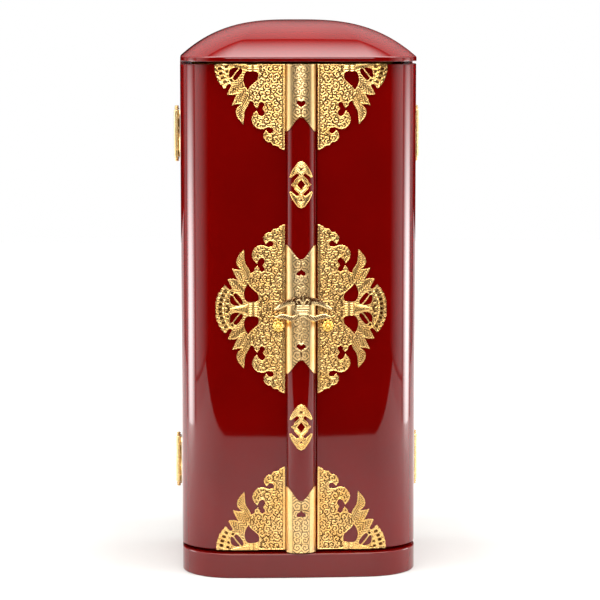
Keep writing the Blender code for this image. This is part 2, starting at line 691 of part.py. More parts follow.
def make_hinge(side, place, door_hinge):
    flip = 1 if side == "right" else -1
    low = HINGE_MIDDLES[place] - sum(KNUCKLE_LENGTHS) / 2
    high = low + sum(KNUCKLE_LENGTHS)
    spans = knuckle_spans(low)
    sets = {"fixed": (spans[0::2], spans[1::2], 1), "door": (spans[1::2], spans[0::2], -1)}
    for leaf, (own, others, backward) in sets.items():
        outline = leaf_outline(own, others, low + KNUCKLE_GAP / 2, high - KNUCKLE_GAP / 2)
        plate = pierced_plate(outline, [], FIT_GAP, FIT_GAP + LEAF_THICKNESS)
        for vert in plate.verts:
            away, out, z = vert.co
            vert.co = (flip * (DOOR_HALF_WIDTH + out), HINGE_LINE_Y + backward * away, z)
        bmesh.ops.recalc_face_normals(plate, faces=plate.faces)
        parent = door_hinge if leaf == "door" else None
        piece = gilt(f"hinge_{leaf}_leaf_{side}_{place}", plate, parent)
        for number, span in enumerate(own):
            barrel = moved(tube(KNUCKLE_RADIUS, KNUCKLE_BORE, *span), (flip * HINGE_X, HINGE_LINE_Y, 0))
            fuse(piece, f"{piece.name}_knuckle_{number}", barrel)
    make_pin(side, place, low, high, flip * HINGE_X)


def make_pin(side, place, low, high, x):
    """The hinge's pin, with a turned finial at each end."""
    finial = ((0.55, 0.0), (1.0, 0.3), (0.5, 0.55), (0.9, 0.75), (0.15, 1.0))
    upper = [(FINIAL_RADIUS * width, high + KNUCKLE_GAP + FINIAL_HEIGHT * rise) for width, rise in finial]
    lower = [(FINIAL_RADIUS * width, low - KNUCKLE_GAP - FINIAL_HEIGHT * rise) for width, rise in finial]
    shaft = [(PIN_RADIUS, low - KNUCKLE_GAP), (PIN_RADIUS, high + KNUCKLE_GAP)]
    profile = lower[::-1] + shaft + upper
    rings = []
    for radius, z in profile:
        rings.append([(px, py, z) for px, py in round_loop(radius, ROUND_STEPS, (x, HINGE_LINE_Y))])
    gilt(f"hinge_pin_{side}_{place}", loft(rings))


def build():
    clear_scene()
    make_base()
    make_roof()
    make_shell()
    starts = {"left": -LEFT_DOOR_EDGE, "right": RIGHT_DOOR_EDGE}
    edges = {"left": LEFT_PLATE_EDGE, "right": RIGHT_PLATE_EDGE}
    hinges = {}
    for side, flip in (("left", -1), ("right", 1)):
        hinges[side] = axis_empty("door_hinge_" + side, (flip * HINGE_X, HINGE_LINE_Y, DOOR_BOTTOM))
        make_door(side, starts[side], hinges[side])
        make_plates(side, starts[side], edges[side], hinges[side])
        make_knob(side, hinges[side])
        for place in HINGE_MIDDLES:
            make_hinge(side, place, hinges[side])
    make_strip(hinges["left"])
    pivot = axis_empty("latch_pivot", (knob_x("left"), LATCH_BACK_Y, KNOB_HEIGHT), hinges["left"])
    make_latch(pivot)


build()
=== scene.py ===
import math

import bpy
import numpy as np
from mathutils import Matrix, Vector
from mathutils.geometry import delaunay_2d_cdt


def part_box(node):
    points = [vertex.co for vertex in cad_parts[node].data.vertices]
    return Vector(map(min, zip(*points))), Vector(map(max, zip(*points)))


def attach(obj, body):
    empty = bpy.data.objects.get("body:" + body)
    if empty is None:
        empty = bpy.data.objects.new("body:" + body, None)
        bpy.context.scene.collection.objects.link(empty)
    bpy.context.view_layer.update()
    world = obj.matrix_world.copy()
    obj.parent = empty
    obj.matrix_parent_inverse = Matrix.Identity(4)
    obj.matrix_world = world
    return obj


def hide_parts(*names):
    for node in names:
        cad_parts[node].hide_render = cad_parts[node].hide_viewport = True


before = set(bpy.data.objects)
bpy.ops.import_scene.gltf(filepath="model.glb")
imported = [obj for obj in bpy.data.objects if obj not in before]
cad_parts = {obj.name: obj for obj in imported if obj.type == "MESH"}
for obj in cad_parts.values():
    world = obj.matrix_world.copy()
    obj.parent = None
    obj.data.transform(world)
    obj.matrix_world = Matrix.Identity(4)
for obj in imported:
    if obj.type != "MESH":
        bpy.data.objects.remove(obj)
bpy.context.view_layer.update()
mm = 0.001
print("frame loaded:", len(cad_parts), "nodes")


# small helpers

def hexColour(code):
    # sRGB hex to the linear values that the shaders want
    parts = [int(code[i:i + 2], 16) / 255 for i in (1, 3, 5)]
    return tuple(p / 12.92 if p <= 0.04045 else ((p + 0.055) / 1.055) ** 2.4 for p in parts) + (1.0,)


def addNode(tree, kind, settings=None, links=None):
    # a key of settings or links is the name or number of an input, or else a setting of the node
    node = tree.nodes.new(kind)
    for key, value in (settings or {}).items():
        if isinstance(key, int) or key in node.inputs:
            node.inputs[key].default_value = value
        else:
            setattr(node, key, value)
    for key, source in (links or {}).items():
        tree.links.new(source, node.inputs[key])
    return node


def newMaterial(name):
    material = bpy.data.materials.new(name)
    material.use_nodes = True
    tree = material.node_tree
    shader = tree.nodes["Principled BSDF"]
    coords = addNode(tree, "ShaderNodeTexCoord").outputs["Object"]
    return material, tree, shader, coords


def perMetre(sizeMm):
    # texture scale that repeats about once every sizeMm
    return 1000 / sizeMm


def setRamp(node, stops):
    ramp = node.color_ramp
    while len(ramp.elements) < len(stops):
        ramp.elements.new(0.5)
    for element, (place, colour) in zip(ramp.elements, stops):
        element.position = place
        element.color = colour


def placeRing(rows, flip=False):
    # quads between rows of equal length, closed round
    faces = []
    count = len(rows[0])
    for low, high in zip(rows, rows[1:]):
        for i in range(count):
            j = (i + 1) % count
            quad = (low[i], low[j], high[j], high[i])
            faces.append(quad[::-1] if flip else quad)
    return faces


def makePiece(name, verts, faces, body, materials, nodes, faceMaterials=None, sharp=35, values=None):
    # values say how much painted shade each point of the gilding gets, which also makes it more matt
    data = bpy.data.meshes.new(name)
    data.from_pydata([tuple(map(float, v)) for v in verts], [], [tuple(map(int, f)) for f in faces])
    for material in materials:
        data.materials.append(material)
    if faceMaterials is not None:
        data.polygons.foreach_set("material_index", np.asarray(faceMaterials, np.int32))
    if values is not None:
        layer = data.attributes.new("paintedShade", "FLOAT", "POINT")
        layer.data.foreach_set("value", np.asarray(values, np.float32))
    data.validate()
    data.update()
    data.shade_smooth()
    data.set_sharp_from_angle(angle=math.radians(sharp))
    piece = bpy.data.objects.new(name, data)
    bpy.context.scene.collection.objects.link(piece)
    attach(piece, body)
    if nodes:
        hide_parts(*nodes)
    return piece


# finishes

def makeLacquer():
    # vermilion urushi on wood: deep red body colour under a thin, wet-looking polished coat
    look = {"body": "#680201", "deep": "#5f0201", "ior": 1.5, "polish": 0.03, "waveMm": 70, "waveDepth": 0.04 * mm,
            "hazeMm": 9}
    material, tree, shader, coords = newMaterial("vermilionLacquerOnWood")
    drift = addNode(tree, "ShaderNodeTexNoise", {"Scale": perMetre(look["waveMm"]), "Detail": 2.0},
                    {"Vector": coords})
    tint = addNode(tree, "ShaderNodeValToRGB", {}, {"Fac": drift.outputs["Fac"]})
    setRamp(tint, [(0.3, hexColour(look["deep"])), (0.7, hexColour(look["body"]))])
    tree.links.new(tint.outputs["Color"], shader.inputs["Base Color"])
    wave = addNode(tree, "ShaderNodeBump", {"Strength": 1.0, "Distance": look["waveDepth"]},
                   {"Height": drift.outputs["Fac"]})
    tree.links.new(wave.outputs["Normal"], shader.inputs["Normal"])
    haze = addNode(tree, "ShaderNodeTexNoise", {"Scale": perMetre(look["hazeMm"]), "Detail": 3.0},
                   {"Vector": coords})
    sheen = addNode(tree, "ShaderNodeMapRange",
                    {"To Min": look["polish"] * 0.7, "To Max": look["polish"] * 1.5},
                    {"Value": haze.outputs["Fac"]})
    tree.links.new(sheen.outputs["Result"], shader.inputs["Roughness"])
    shader.inputs["IOR"].default_value = look["ior"]
    return material


def makeGoldLeaf():
    # gold leaf over lacquer inside the cabinet: soft lustre, with the faint overlaps of square leaves
    look = {"leaf": "#e6b257", "thin": "#d39f47", "leafMm": 55, "roughness": 0.34, "wrinkleMm": 2.5}
    material, tree, shader, coords = newMaterial("goldLeafOnLacquer")
    squares = addNode(tree, "ShaderNodeTexVoronoi", {"Scale": perMetre(look["leafMm"]), "Randomness": 0.12,
                      "distance": "CHEBYCHEV", "feature": "F1"}, {"Vector": coords})
    edge = addNode(tree, "ShaderNodeMapRange", {"From Min": 0.46, "From Max": 0.5},
                   {"Value": squares.outputs["Distance"]})
    cloud = addNode(tree, "ShaderNodeTexNoise", {"Scale": perMetre(look["wrinkleMm"]), "Detail": 4.0},
                    {"Vector": coords})
    mixed = addNode(tree, "ShaderNodeMix", {"data_type": "RGBA"})
    mixed.inputs[6].default_value = hexColour(look["leaf"])
    mixed.inputs[7].default_value = hexColour(look["thin"])
    worn = addNode(tree, "ShaderNodeMath", {"operation": "MULTIPLY", 1: 0.8}, {0: edge.outputs["Result"]})
    tree.links.new(worn.outputs[0], mixed.inputs[0])
    tree.links.new(mixed.outputs[2], shader.inputs["Base Color"])
    bump = addNode(tree, "ShaderNodeBump", {"Strength": 0.25, "Distance": 0.2 * mm},
                   {"Height": cloud.outputs["Fac"]})
    tree.links.new(bump.outputs["Normal"], shader.inputs["Normal"])
    shader.inputs["Metallic"].default_value = 1.0
    shader.inputs["Roughness"].default_value = look["roughness"]
    return material


def makeGiltBrass(name, groundMm, roughness, tarnish, gilt, pale):
    # chased brass sheet, fire-gilded: warm bright metal, more matt where the ground is sunk and punched, with
    # painted shade darkening its hollows;
    # the per-point value says how much painted shade each point of the mesh gets, from 0 to 1
    look = {"shadeTone": "#3c1805", "tarnishMm": 1.5, "cloudMm": 14, "grainMm": 0.6}
    material, tree, shader, coords = newMaterial(name)
    paintedShade = addNode(tree, "ShaderNodeAttribute", {"attribute_name": "paintedShade"}).outputs["Fac"]
    cloud = addNode(tree, "ShaderNodeTexNoise", {"Scale": perMetre(look["cloudMm"]), "Detail": 3.0},
                    {"Vector": coords})
    bright = addNode(tree, "ShaderNodeMix", {"data_type": "RGBA"})
    bright.inputs[6].default_value = hexColour(gilt)
    bright.inputs[7].default_value = hexColour(pale)
    tree.links.new(cloud.outputs["Fac"], bright.inputs[0])
    # one round punch mark every groundMm where the ground is sunk; real marks are half as wide, too fine to show
    punch = addNode(tree, "ShaderNodeTexVoronoi", {"Scale": perMetre(groundMm), "Randomness": 0.5},
                    {"Vector": coords})
    ring = addNode(tree, "ShaderNodeMapRange",
                   {"From Min": 0.15, "From Max": 0.60, "To Min": 0.55, "To Max": 1.35},
                   {"Value": punch.outputs["Distance"]})
    # painted shade in the hollows, broken up by the punch marks
    deep = addNode(tree, "ShaderNodeMath", {"operation": "MULTIPLY"}, {0: paintedShade, 1: ring.outputs["Result"]})
    grime = addNode(tree, "ShaderNodeTexNoise", {"Scale": perMetre(look["tarnishMm"]), "Detail": 2.0},
                    {"Vector": coords})
    specks = addNode(tree, "ShaderNodeMapRange", {"From Min": 0.54, "From Max": 0.68, "To Max": tarnish},
                     {"Value": grime.outputs["Fac"]})
    # painted shade together with the random tarnish specks
    shadeAndTarnish = addNode(tree, "ShaderNodeMath", {"operation": "ADD", "use_clamp": True},
                     {0: deep.outputs[0], 1: specks.outputs["Result"]})
    mixed = addNode(tree, "ShaderNodeMix", {"data_type": "RGBA"})
    mixed.inputs[7].default_value = hexColour(look["shadeTone"])
    tree.links.new(shadeAndTarnish.outputs[0], mixed.inputs[0])
    tree.links.new(bright.outputs[2], mixed.inputs[6])
    tree.links.new(mixed.outputs[2], shader.inputs["Base Color"])
    grain = addNode(tree, "ShaderNodeTexNoise", {"Scale": perMetre(look["grainMm"]), "Detail": 2.0},
                    {"Vector": coords})
    marks = addNode(tree, "ShaderNodeMath", {"operation": "MULTIPLY_ADD"},
                    {0: grime.outputs["Fac"], 1: grain.outputs["Fac"], 2: shadeAndTarnish.outputs[0]})
    bump = addNode(tree, "ShaderNodeBump", {"Strength": 0.4, "Distance": 0.1 * mm, "invert": True},
                   {"Height": marks.outputs[0]})
    tree.links.new(bump.outputs["Normal"], shader.inputs["Normal"])
    rough = addNode(tree, "ShaderNodeMapRange", {"To Min": roughness, "To Max": roughness + 0.25},
                    {"Value": shadeAndTarnish.outputs[0]})
    tree.links.new(rough.outputs["Result"], shader.inputs["Roughness"])
    shader.inputs["Metallic"].default_value = 1.0
    return material


lacquer = makeLacquer()
goldLeaf = makeGoldLeaf()
# ground punches in mm, roughness, tarnish, gilding and its paler clouds
chasedGilt = makeGiltBrass("chasedGildedBrass", 0.9, 0.25, 0.30, "#fdbb5a", "#ffdb98")
polishedGilt = makeGiltBrass("polishedGildedBrass", 1.2, 0.18, 0.10, "#e8bb4c", "#f9db84")
creamGilt = makeGiltBrass("creamGildedBrass", 0.9, 0.30, 0.15, "#ffc878", "#ffe4ae")
paleGilt = makeGiltBrass("paleGildedBrass", 0.8, 0.26, 0.25, "#e4be80", "#f6daa4")
print("finishes made")


# plan curves, in metres

frontBow = 1.2          # radius of the gently bowed front
baseCorner = 42 * mm    # corner radius of base and roof
doorCorner = 38 * mm    # corner radius of the doors
backTurn = 3 * mm       # corner radius at the back of base and roof


def planLine(halfWidth, front, corner, startX, endY, inset=0.0, cornerSteps=48, bowStep=0.004):
    # along the bowed front from startX, round the corner and back to endY
    bow = frontBow
    meet = math.asin((halfWidth - corner) / (bow - corner))
    start = math.asin(startX / bow)
    steps = max(2, round((meet - start) * bow / bowStep))
    cornerX = (bow - corner) * math.sin(meet)
    cornerY = bow - front - (bow - corner) * math.cos(meet)
    line = []
    for i in range(steps):
        a = start + (meet - start) * i / steps
        line.append(((bow - inset) * math.sin(a), bow - front - (bow - inset) * math.cos(a)))
    for i in range(cornerSteps + 1):
        a = meet + (math.pi / 2 - meet) * i / cornerSteps
        line.append((cornerX + (corner - inset) * math.sin(a), cornerY - (corner - inset) * math.cos(a)))
    last = line[-1]
    for i in range(1, 9):
        line.append((last[0], last[1] + (endY - last[1]) * i / 8))
    return line


def outward(line, closed=False):
    # outward normals, lengthened at bends so that an offset line stays parallel
    pts = np.asarray(line, float)
    if closed:
        ahead = np.roll(pts, -1, 0) - pts
        back = pts - np.roll(pts, 1, 0)
    else:
        step = np.diff(pts, axis=0)
        ahead = np.vstack([step, step[-1:]])
        back = np.vstack([step[:1], step])
    unit = [v / np.maximum(np.hypot(v[:, 0], v[:, 1])[:, None], 1e-12) for v in (ahead, back)]
    normals = [np.stack([v[:, 1], -v[:, 0]], 1) for v in unit]
    total = normals[0] + normals[1]
    return total * (2 / np.maximum((total ** 2).sum(1), 1e-12))[:, None]


def along(line, reach, out):
    # points at a length along an open line and a distance out from it
    pts = np.asarray(line, float)
    lengths = np.concatenate([[0], np.cumsum(np.hypot(*np.diff(pts, axis=0).T))])
    normals = outward(line)
    x = np.interp(reach, lengths, pts[:, 0]) + np.interp(reach, lengths, normals[:, 0]) * out
    y = np.interp(reach, lengths, pts[:, 1]) + np.interp(reach, lengths, normals[:, 1]) * out
    return x, y


def roundCorners(loop, radius, steps=5):
    # rounds the sharp corners of a closed plan loop, with a support point just past each rounding
    out = []
    count = len(loop)
    for i, p in enumerate(loop):
        before, here, after = Vector(loop[i - 1]), Vector(p), Vector(loop[(i + 1) % count])
        a, b = (before - here).normalized(), (after - here).normalized()
        angle = a.angle(b)
        if angle > math.radians(150):
            out.append(tuple(here))
            continue
        cut = radius / math.tan(angle / 2)
        start, end = here + a * cut, here + b * cut
        middle = here + (a + b).normalized() * (radius / math.sin(angle / 2))
        out.append(tuple(start + a * radius * 0.5))
        first, last = (start - middle), (end - middle)
        sweep = first.angle_signed(last)
        for k in range(steps + 1):
            turn = -sweep * k / steps
            c, s = math.cos(turn), math.sin(turn)
            out.append((middle.x + first.x * c - first.y * s, middle.y + first.x * s + first.y * c))
        out.append(tuple(end + b * radius * 0.5))
    return out


def board(name, loop, low, high, arris, body, materials, nodes, pick=None, sharp=35):
    # a board with a rounded edge all round its top and bottom
    pts = np.asarray(loop, float)
    move = outward(loop, closed=True)
    levels = []
    for k in range(5):
        turn = math.pi / 2 * k / 4
        levels.append((arris * (1 - math.sin(turn)), low + arris * (1 - math.cos(turn))))
    levels.append((0, low + arris * 1.6))
    levels += [(inset, high - (z - low)) for inset, z in reversed(levels)]
    verts, rows = [], []
    for inset, z in levels:
        ring = pts - move * inset
        rows.append(range(len(verts), len(verts) + len(ring)))
        verts += [(x, y, z) for x, y in ring]
    faces = placeRing(rows)
    faces += [tuple(rows[0])[::-1], tuple(rows[-1])]
    chosen = None
    if pick:
        chosen = []
        for face in faces:
            middle = np.mean([verts[i] for i in face], axis=0)
            chosen.append(pick(*middle) if len(face) == 4 else 0)
    return makePiece(name, verts, faces, body, materials, nodes, chosen, sharp)


# cabinet

baseLow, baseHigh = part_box("base")
roofLow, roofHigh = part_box("roof")
doorLow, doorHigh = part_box("door_panel_left")
rightLow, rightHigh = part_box("door_panel_right")
sideLow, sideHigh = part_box("side_board_right")
backLow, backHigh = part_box("back_board")


def boardOutline(inset=0.0, turn=backTurn):
    # outline shared by base and roof: bowed front, round front corners, nearly square back
    back = baseHigh.y - inset
    right = planLine(baseHigh.x, -baseLow.y, baseCorner, 0.0, back - turn, inset)
    middleX = right[-1][0] - turn
    for i in range(1, 13):
        a = math.pi / 2 * i / 12
        right.append((middleX + turn * math.cos(a), back - turn + turn * math.sin(a)))
    for i in range(1, 8):
        right.append((middleX * (1 - i / 8), back))
    return right + [(-x, y) for x, y in reversed(right[1:])]


def boxCorners(low, high):
    return [(low.x, low.y), (high.x, low.y), (high.x, high.y), (low.x, high.y)]


def makeCabinet():
    base = {"topArris": 1.0 * mm, "footArris": 0.8 * mm}
    verts, rows = [], []

    def addRow(inset, z):
        rows.append(range(len(verts), len(verts) + len(boardOutline(inset))))
        verts.extend((x, y, z) for x, y in boardOutline(inset))

    for k in range(4):
        turn = math.pi / 2 * k / 3
        addRow(base["footArris"] * (1 - math.sin(turn)), base["footArris"] * (1 - math.cos(turn)))
    addRow(0, base["footArris"] * 1.6)
    addRow(0, baseHigh.z - base["topArris"] * 1.3)
    for k in range(9):
        turn = math.pi / 2 * k / 8
        addRow(base["topArris"] * (1 - math.cos(turn)), baseHigh.z - base["topArris"] * (1 - math.sin(turn)))
    addRow(base["topArris"] * 1.5, baseHigh.z)
    faces = placeRing(rows) + [tuple(rows[0])[::-1], tuple(rows[-1])]
    makePiece("baseBoard", verts, faces, "cabinet", [lacquer], ["base"])

    # the dome is the outline shrunk towards a point shift behind the middle, its back corners opening by backTurn
    roof = {"fascia": 4.0 * mm, "lowArris": 0.5 * mm, "topArris": 1.8 * mm, "power": 2.9, "shift": 18 * mm,
            "backTurn": 50 * mm, "half": 98 * mm, "slope": 45, "steps": 50, "gather": 1.6, "crown": 0.985}
    verts, rows = [], []
    foot = roofLow.z + roof["fascia"]
    rise = roofHigh.z - foot
    for k in range(5):
        turn = math.pi / 2 * k / 4
        addRow(roof["lowArris"] * (1 - math.sin(turn)), roofLow.z + roof["lowArris"] * (1 - math.cos(turn)))
    half, slope, arris = roof["half"], math.radians(roof["slope"]), roof["topArris"]
    edge = 1 - arris * (1 - math.cos(slope)) / half
    levels = [(1, roofLow.z + roof["lowArris"] * 1.5), (1, foot - arris * 0.9)]
    levels += [(1 - arris * (1 - math.cos(slope * k / 6)) / half,
                foot - arris * (math.sin(slope) - math.sin(slope * k / 6))) for k in range(6)]
    for k in range(roof["steps"]):
        share = 1 - (k / roof["steps"]) ** roof["gather"] * roof["crown"]
        levels.append((edge * share, roofHigh.z - rise * share ** roof["power"]))
    for share, z in levels:
        outline = boardOutline(0, backTurn + (1 - share) * roof["backTurn"])
        rows.append(range(len(verts), len(verts) + len(outline)))
        verts.extend((x * share, roof["shift"] + (y - roof["shift"]) * share, z) for x, y in outline)
    faces = placeRing(rows) + [tuple(rows[0])[::-1], tuple(rows[-1])]
    makePiece("domedRoof", verts, faces, "cabinet", [lacquer], ["roof"], sharp=40)

    # side and back boards, lacquered outside and gilded on the face towards the inside
    shell = {"arris": 0.7 * mm, "gilded": 0.1 * mm}
    arris = shell["arris"]
    for side, flip in (("right", 1), ("left", -1)):
        corners = [(x * flip, y) for x, y in boxCorners(sideLow, sideHigh)][::flip]
        inner = sideLow.x + shell["gilded"]
        board(side + "SideBoard", roundCorners(corners, arris), sideLow.z, sideHigh.z, arris * 0.8, "cabinet",
              [lacquer, goldLeaf], ["side_board_" + side], lambda x, y, z: int(abs(x) < inner))
    board("backBoard", roundCorners(boxCorners(backLow, backHigh), arris), backLow.z, backHigh.z, arris * 0.8,
          "cabinet", [lacquer, goldLeaf], ["back_board"], lambda x, y, z: int(y < backLow.y + shell["gilded"]))


makeCabinet()
print("cabinet made")


# doors and centre strip

doorHalf = rightHigh.x
doorFront = -doorLow.y
doorEnd = rightHigh.y
doorStarts = {"left": -doorHigh.x, "right": rightLow.x}
doorBodies = {"left": "left_door", "right": "right_door"}


def doorLine(start, inset=0.0):
    return planLine(doorHalf, doorFront, doorCorner, start, doorEnd, inset)


def makeDoors():
    door = {"thickness": 9 * mm, "arris": 1.2 * mm, "endArris": 0.8 * mm, "gilded": 0.15 * mm}

    def pick(x, y, z):
        # the gilded inner face is what lies deeper than the door's thickness
        dx, dy = max(0.0, abs(x) - (doorHalf - doorCorner)), max(0.0, -(y + doorFront - doorCorner))
        deep = doorCorner - math.hypot(dx, dy)
        return int(deep > door["thickness"] - door["gilded"])

    for side, start in doorStarts.items():
        loop = doorLine(start) + doorLine(start, door["thickness"])[::-1]
        if side == "left":
            loop = [(-x, y) for x, y in loop][::-1]
        board(side + "DoorPanel", roundCorners(loop, door["arris"]), doorLow.z, doorHigh.z, door["endArris"],
              doorBodies[side], [lacquer, goldLeaf], ["door_panel_" + side], pick)


makeDoors()

stripLow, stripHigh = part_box("centre_strip")
stripShape = {"side": 0.6 * mm, "steps": 64, "arris": 0.5 * mm}


def stripLine():
    # half-round section on two short upright sides
    half = stripHigh.x
    shoulder = stripHigh.y - stripShape["side"]
    rise = shoulder - stripLow.y
    line = [(-half, stripHigh.y), (-half, (stripHigh.y + shoulder) / 2)]
    for i in range(stripShape["steps"] + 1):
        a = math.pi * i / stripShape["steps"]
        line.append((-half * math.cos(a), shoulder - rise * math.sin(a)))
    return line + [(half, (stripHigh.y + shoulder) / 2), (half, stripHigh.y)]


board("centreStrip", stripLine(), stripLow.z, stripHigh.z, stripShape["arris"], "left_door", [lacquer],
      ["centre_strip"])
print("doors and strip made")


# chased sheets: a fine grid cut by an outline, raised by its relief, bent onto what carries it

def splinePoints(points, steps):
    # smooth curve through the points
    pts = [np.array(p, float) for p in points]
    ends = [pts[0], *pts, pts[-1]]
    drawn = []
    for a, b, c, d in zip(ends, ends[1:], ends[2:], ends[3:]):
        for i in range(steps):
            t = i / steps
            drawn.append(0.5 * (2 * b + (c - a) * t + (2 * a - 5 * b + 4 * c - d) * t ** 2
                                + (3 * b - a - 3 * c + d) * t ** 3))
    return [tuple(p) for p in drawn] + [tuple(pts[-1])]


def joinRuns(runs, steps):
    # one line from runs that meet in sharp corners
    line = []
    for run in runs:
        drawn = splinePoints(run, steps) if len(run) > 2 else [tuple(map(float, p)) for p in run]
        line += drawn if not line else drawn[1:]
    return line


def scalloped(line, rise, pitch):
    # small lobes along an edge that runs anticlockwise
    pts = np.asarray(line, float)
    lengths = np.concatenate([[0], np.cumsum(np.hypot(*np.diff(pts, axis=0).T))])
    normals = outward(line)
    normals /= np.maximum(1.0, np.hypot(normals[:, 0], normals[:, 1]))[:, None]
    lobes = rise * np.abs(np.sin(math.pi * lengths / pitch))
    lobes[0] = lobes[-1] = 0
    return [tuple(p) for p in pts + normals * lobes[:, None]]


def distanceField(u, v, loops):
    # signed distance in millimetres, above 0 inside, and the nearest outline point
    best = np.full(u.shape, 1e9)
    nearU, nearV = np.zeros(u.shape), np.zeros(u.shape)
    inside = np.zeros(u.shape, bool)
    for loop in loops:
        for (ax, ay), (bx, by) in zip(loop, list(loop[1:]) + [loop[0]]):
            ex, ey = bx - ax, by - ay
            t = np.clip(((u - ax) * ex + (v - ay) * ey) / (ex * ex + ey * ey + 1e-12), 0, 1)
            qu, qv = ax + t * ex, ay + t * ey
            d = np.hypot(u - qu, v - qv)
            closer = d < best
            best = np.where(closer, d, best)
            nearU = np.where(closer, qu, nearU)
            nearV = np.where(closer, qv, nearV)
            if ay != by:
                inside ^= ((ay > v) != (by > v)) & (u < (bx - ax) * (v - ay) / (by - ay) + ax)
    return np.where(inside, best, -best), nearU, nearV


def blurred(field, cells):
    # mean over a square, by running sums
    padded = np.pad(field, cells, mode="edge")
    total = np.pad(padded.cumsum(0).cumsum(1), ((1, 0), (1, 0)))
    n = 2 * cells + 1
    return (total[n:, n:] - total[:-n, n:] - total[n:, :-n] + total[:-n, :-n]) / (n * n)


def stamp(field, u0, v0, step, points):
    # raises rounded strokes: each point is (u, v, half width, rise)
    for pu, pv, radius, rise in points:
        i0, i1 = int((pu - radius - u0) / step), int((pu + radius - u0) / step) + 2
        j0, j1 = int((pv - radius - v0) / step), int((pv + radius - v0) / step) + 2
        i0, j0 = max(i0, 0), max(j0, 0)
        if i1 <= i0 or j1 <= j0 or i0 >= field.shape[1] or j0 >= field.shape[0]:
            continue
        window = field[j0:j1, i0:i1]
        uu = u0 + step * np.arange(i0, i0 + window.shape[1])
        vv = v0 + step * np.arange(j0, j0 + window.shape[0])
        d2 = ((uu[None, :] - pu) ** 2 + (vv[:, None] - pv) ** 2) / radius ** 2
        np.maximum(window, rise * np.sqrt(np.maximum(0, 1 - d2)), out=window)


def scrollCentres(spacing, width, height):
    # a staggered, uneven field of vine scrolls: centre, radius, start angle in degrees, hand
    centres = []
    for j in range(round(height / spacing / 0.87) + 1):
        for i in range(round(width / spacing) + 1):
            centres.append((spacing * (i + 0.5 * (j % 2) + 0.22 * math.sin(12.9 * i + 4.1 * j)),
                            spacing * (0.87 * j + 0.22 * math.sin(7.3 * i + 9.7 * j)),
                            spacing * 0.5 * (1 + 0.22 * math.sin(3.7 * i + 5.3 * j)),
                            137 * i + 83 * j, 1 if (i + j) % 2 else -1))
    return centres


def roundedRim(inner):
    # the raised, rounded border in the first millimetre from the outline
    return np.sqrt(np.clip(1 - ((inner - 0.5) / 0.5) ** 2, 0, 1)) * (inner < 1.0)


def lineAt(offset, width):
    # 1 on a line, falling off over about its width
    return np.exp(-(offset / width) ** 2)


def spiralGround(u, v, scrolls, pitch):
    # dense chasing: every point lies on the spiral round its nearest scroll centre; 1 on a ridge, 0 in a groove.
    # The real lines are finer; they are drawn this coarse to show
    nearest, second, turns = np.full(u.shape, 1e9), np.full(u.shape, 1e9), np.zeros(u.shape)
    for centreU, centreV, radius, start, hand in scrolls:
        r = np.hypot(u - centreU, v - centreV)
        a = np.arctan2(v - centreV, u - centreU) - math.radians(start)
        reach = r / radius
        turn = r / pitch - hand * a / (2 * math.pi) + 0.12 * np.cos(5 * a) * np.clip(r / 1.4 - 0.5, 0, 1)
        closer = reach < nearest
        second = np.where(closer, nearest, np.minimum(second, reach))
        nearest = np.where(closer, reach, nearest)
        turns = np.where(closer, turn, turns)
    groove = lineAt(np.abs(turns % 1 - 0.5) * pitch, 0.33)
    crown = 0.75 + 0.25 * np.cos(2 * math.pi * turns)
    return crown * (1 - groove) * np.clip(0.15 + (second - nearest) / 0.10, 0, 1)


def stroke(points, width, rise, taper=0.5, steps=14):
    # points for stamp along a curve that grows thinner
    drawn = splinePoints(points, steps)
    last = len(drawn) - 1
    return [(u, v, width * (1 - taper * i / last), rise) for i, (u, v) in enumerate(drawn)]


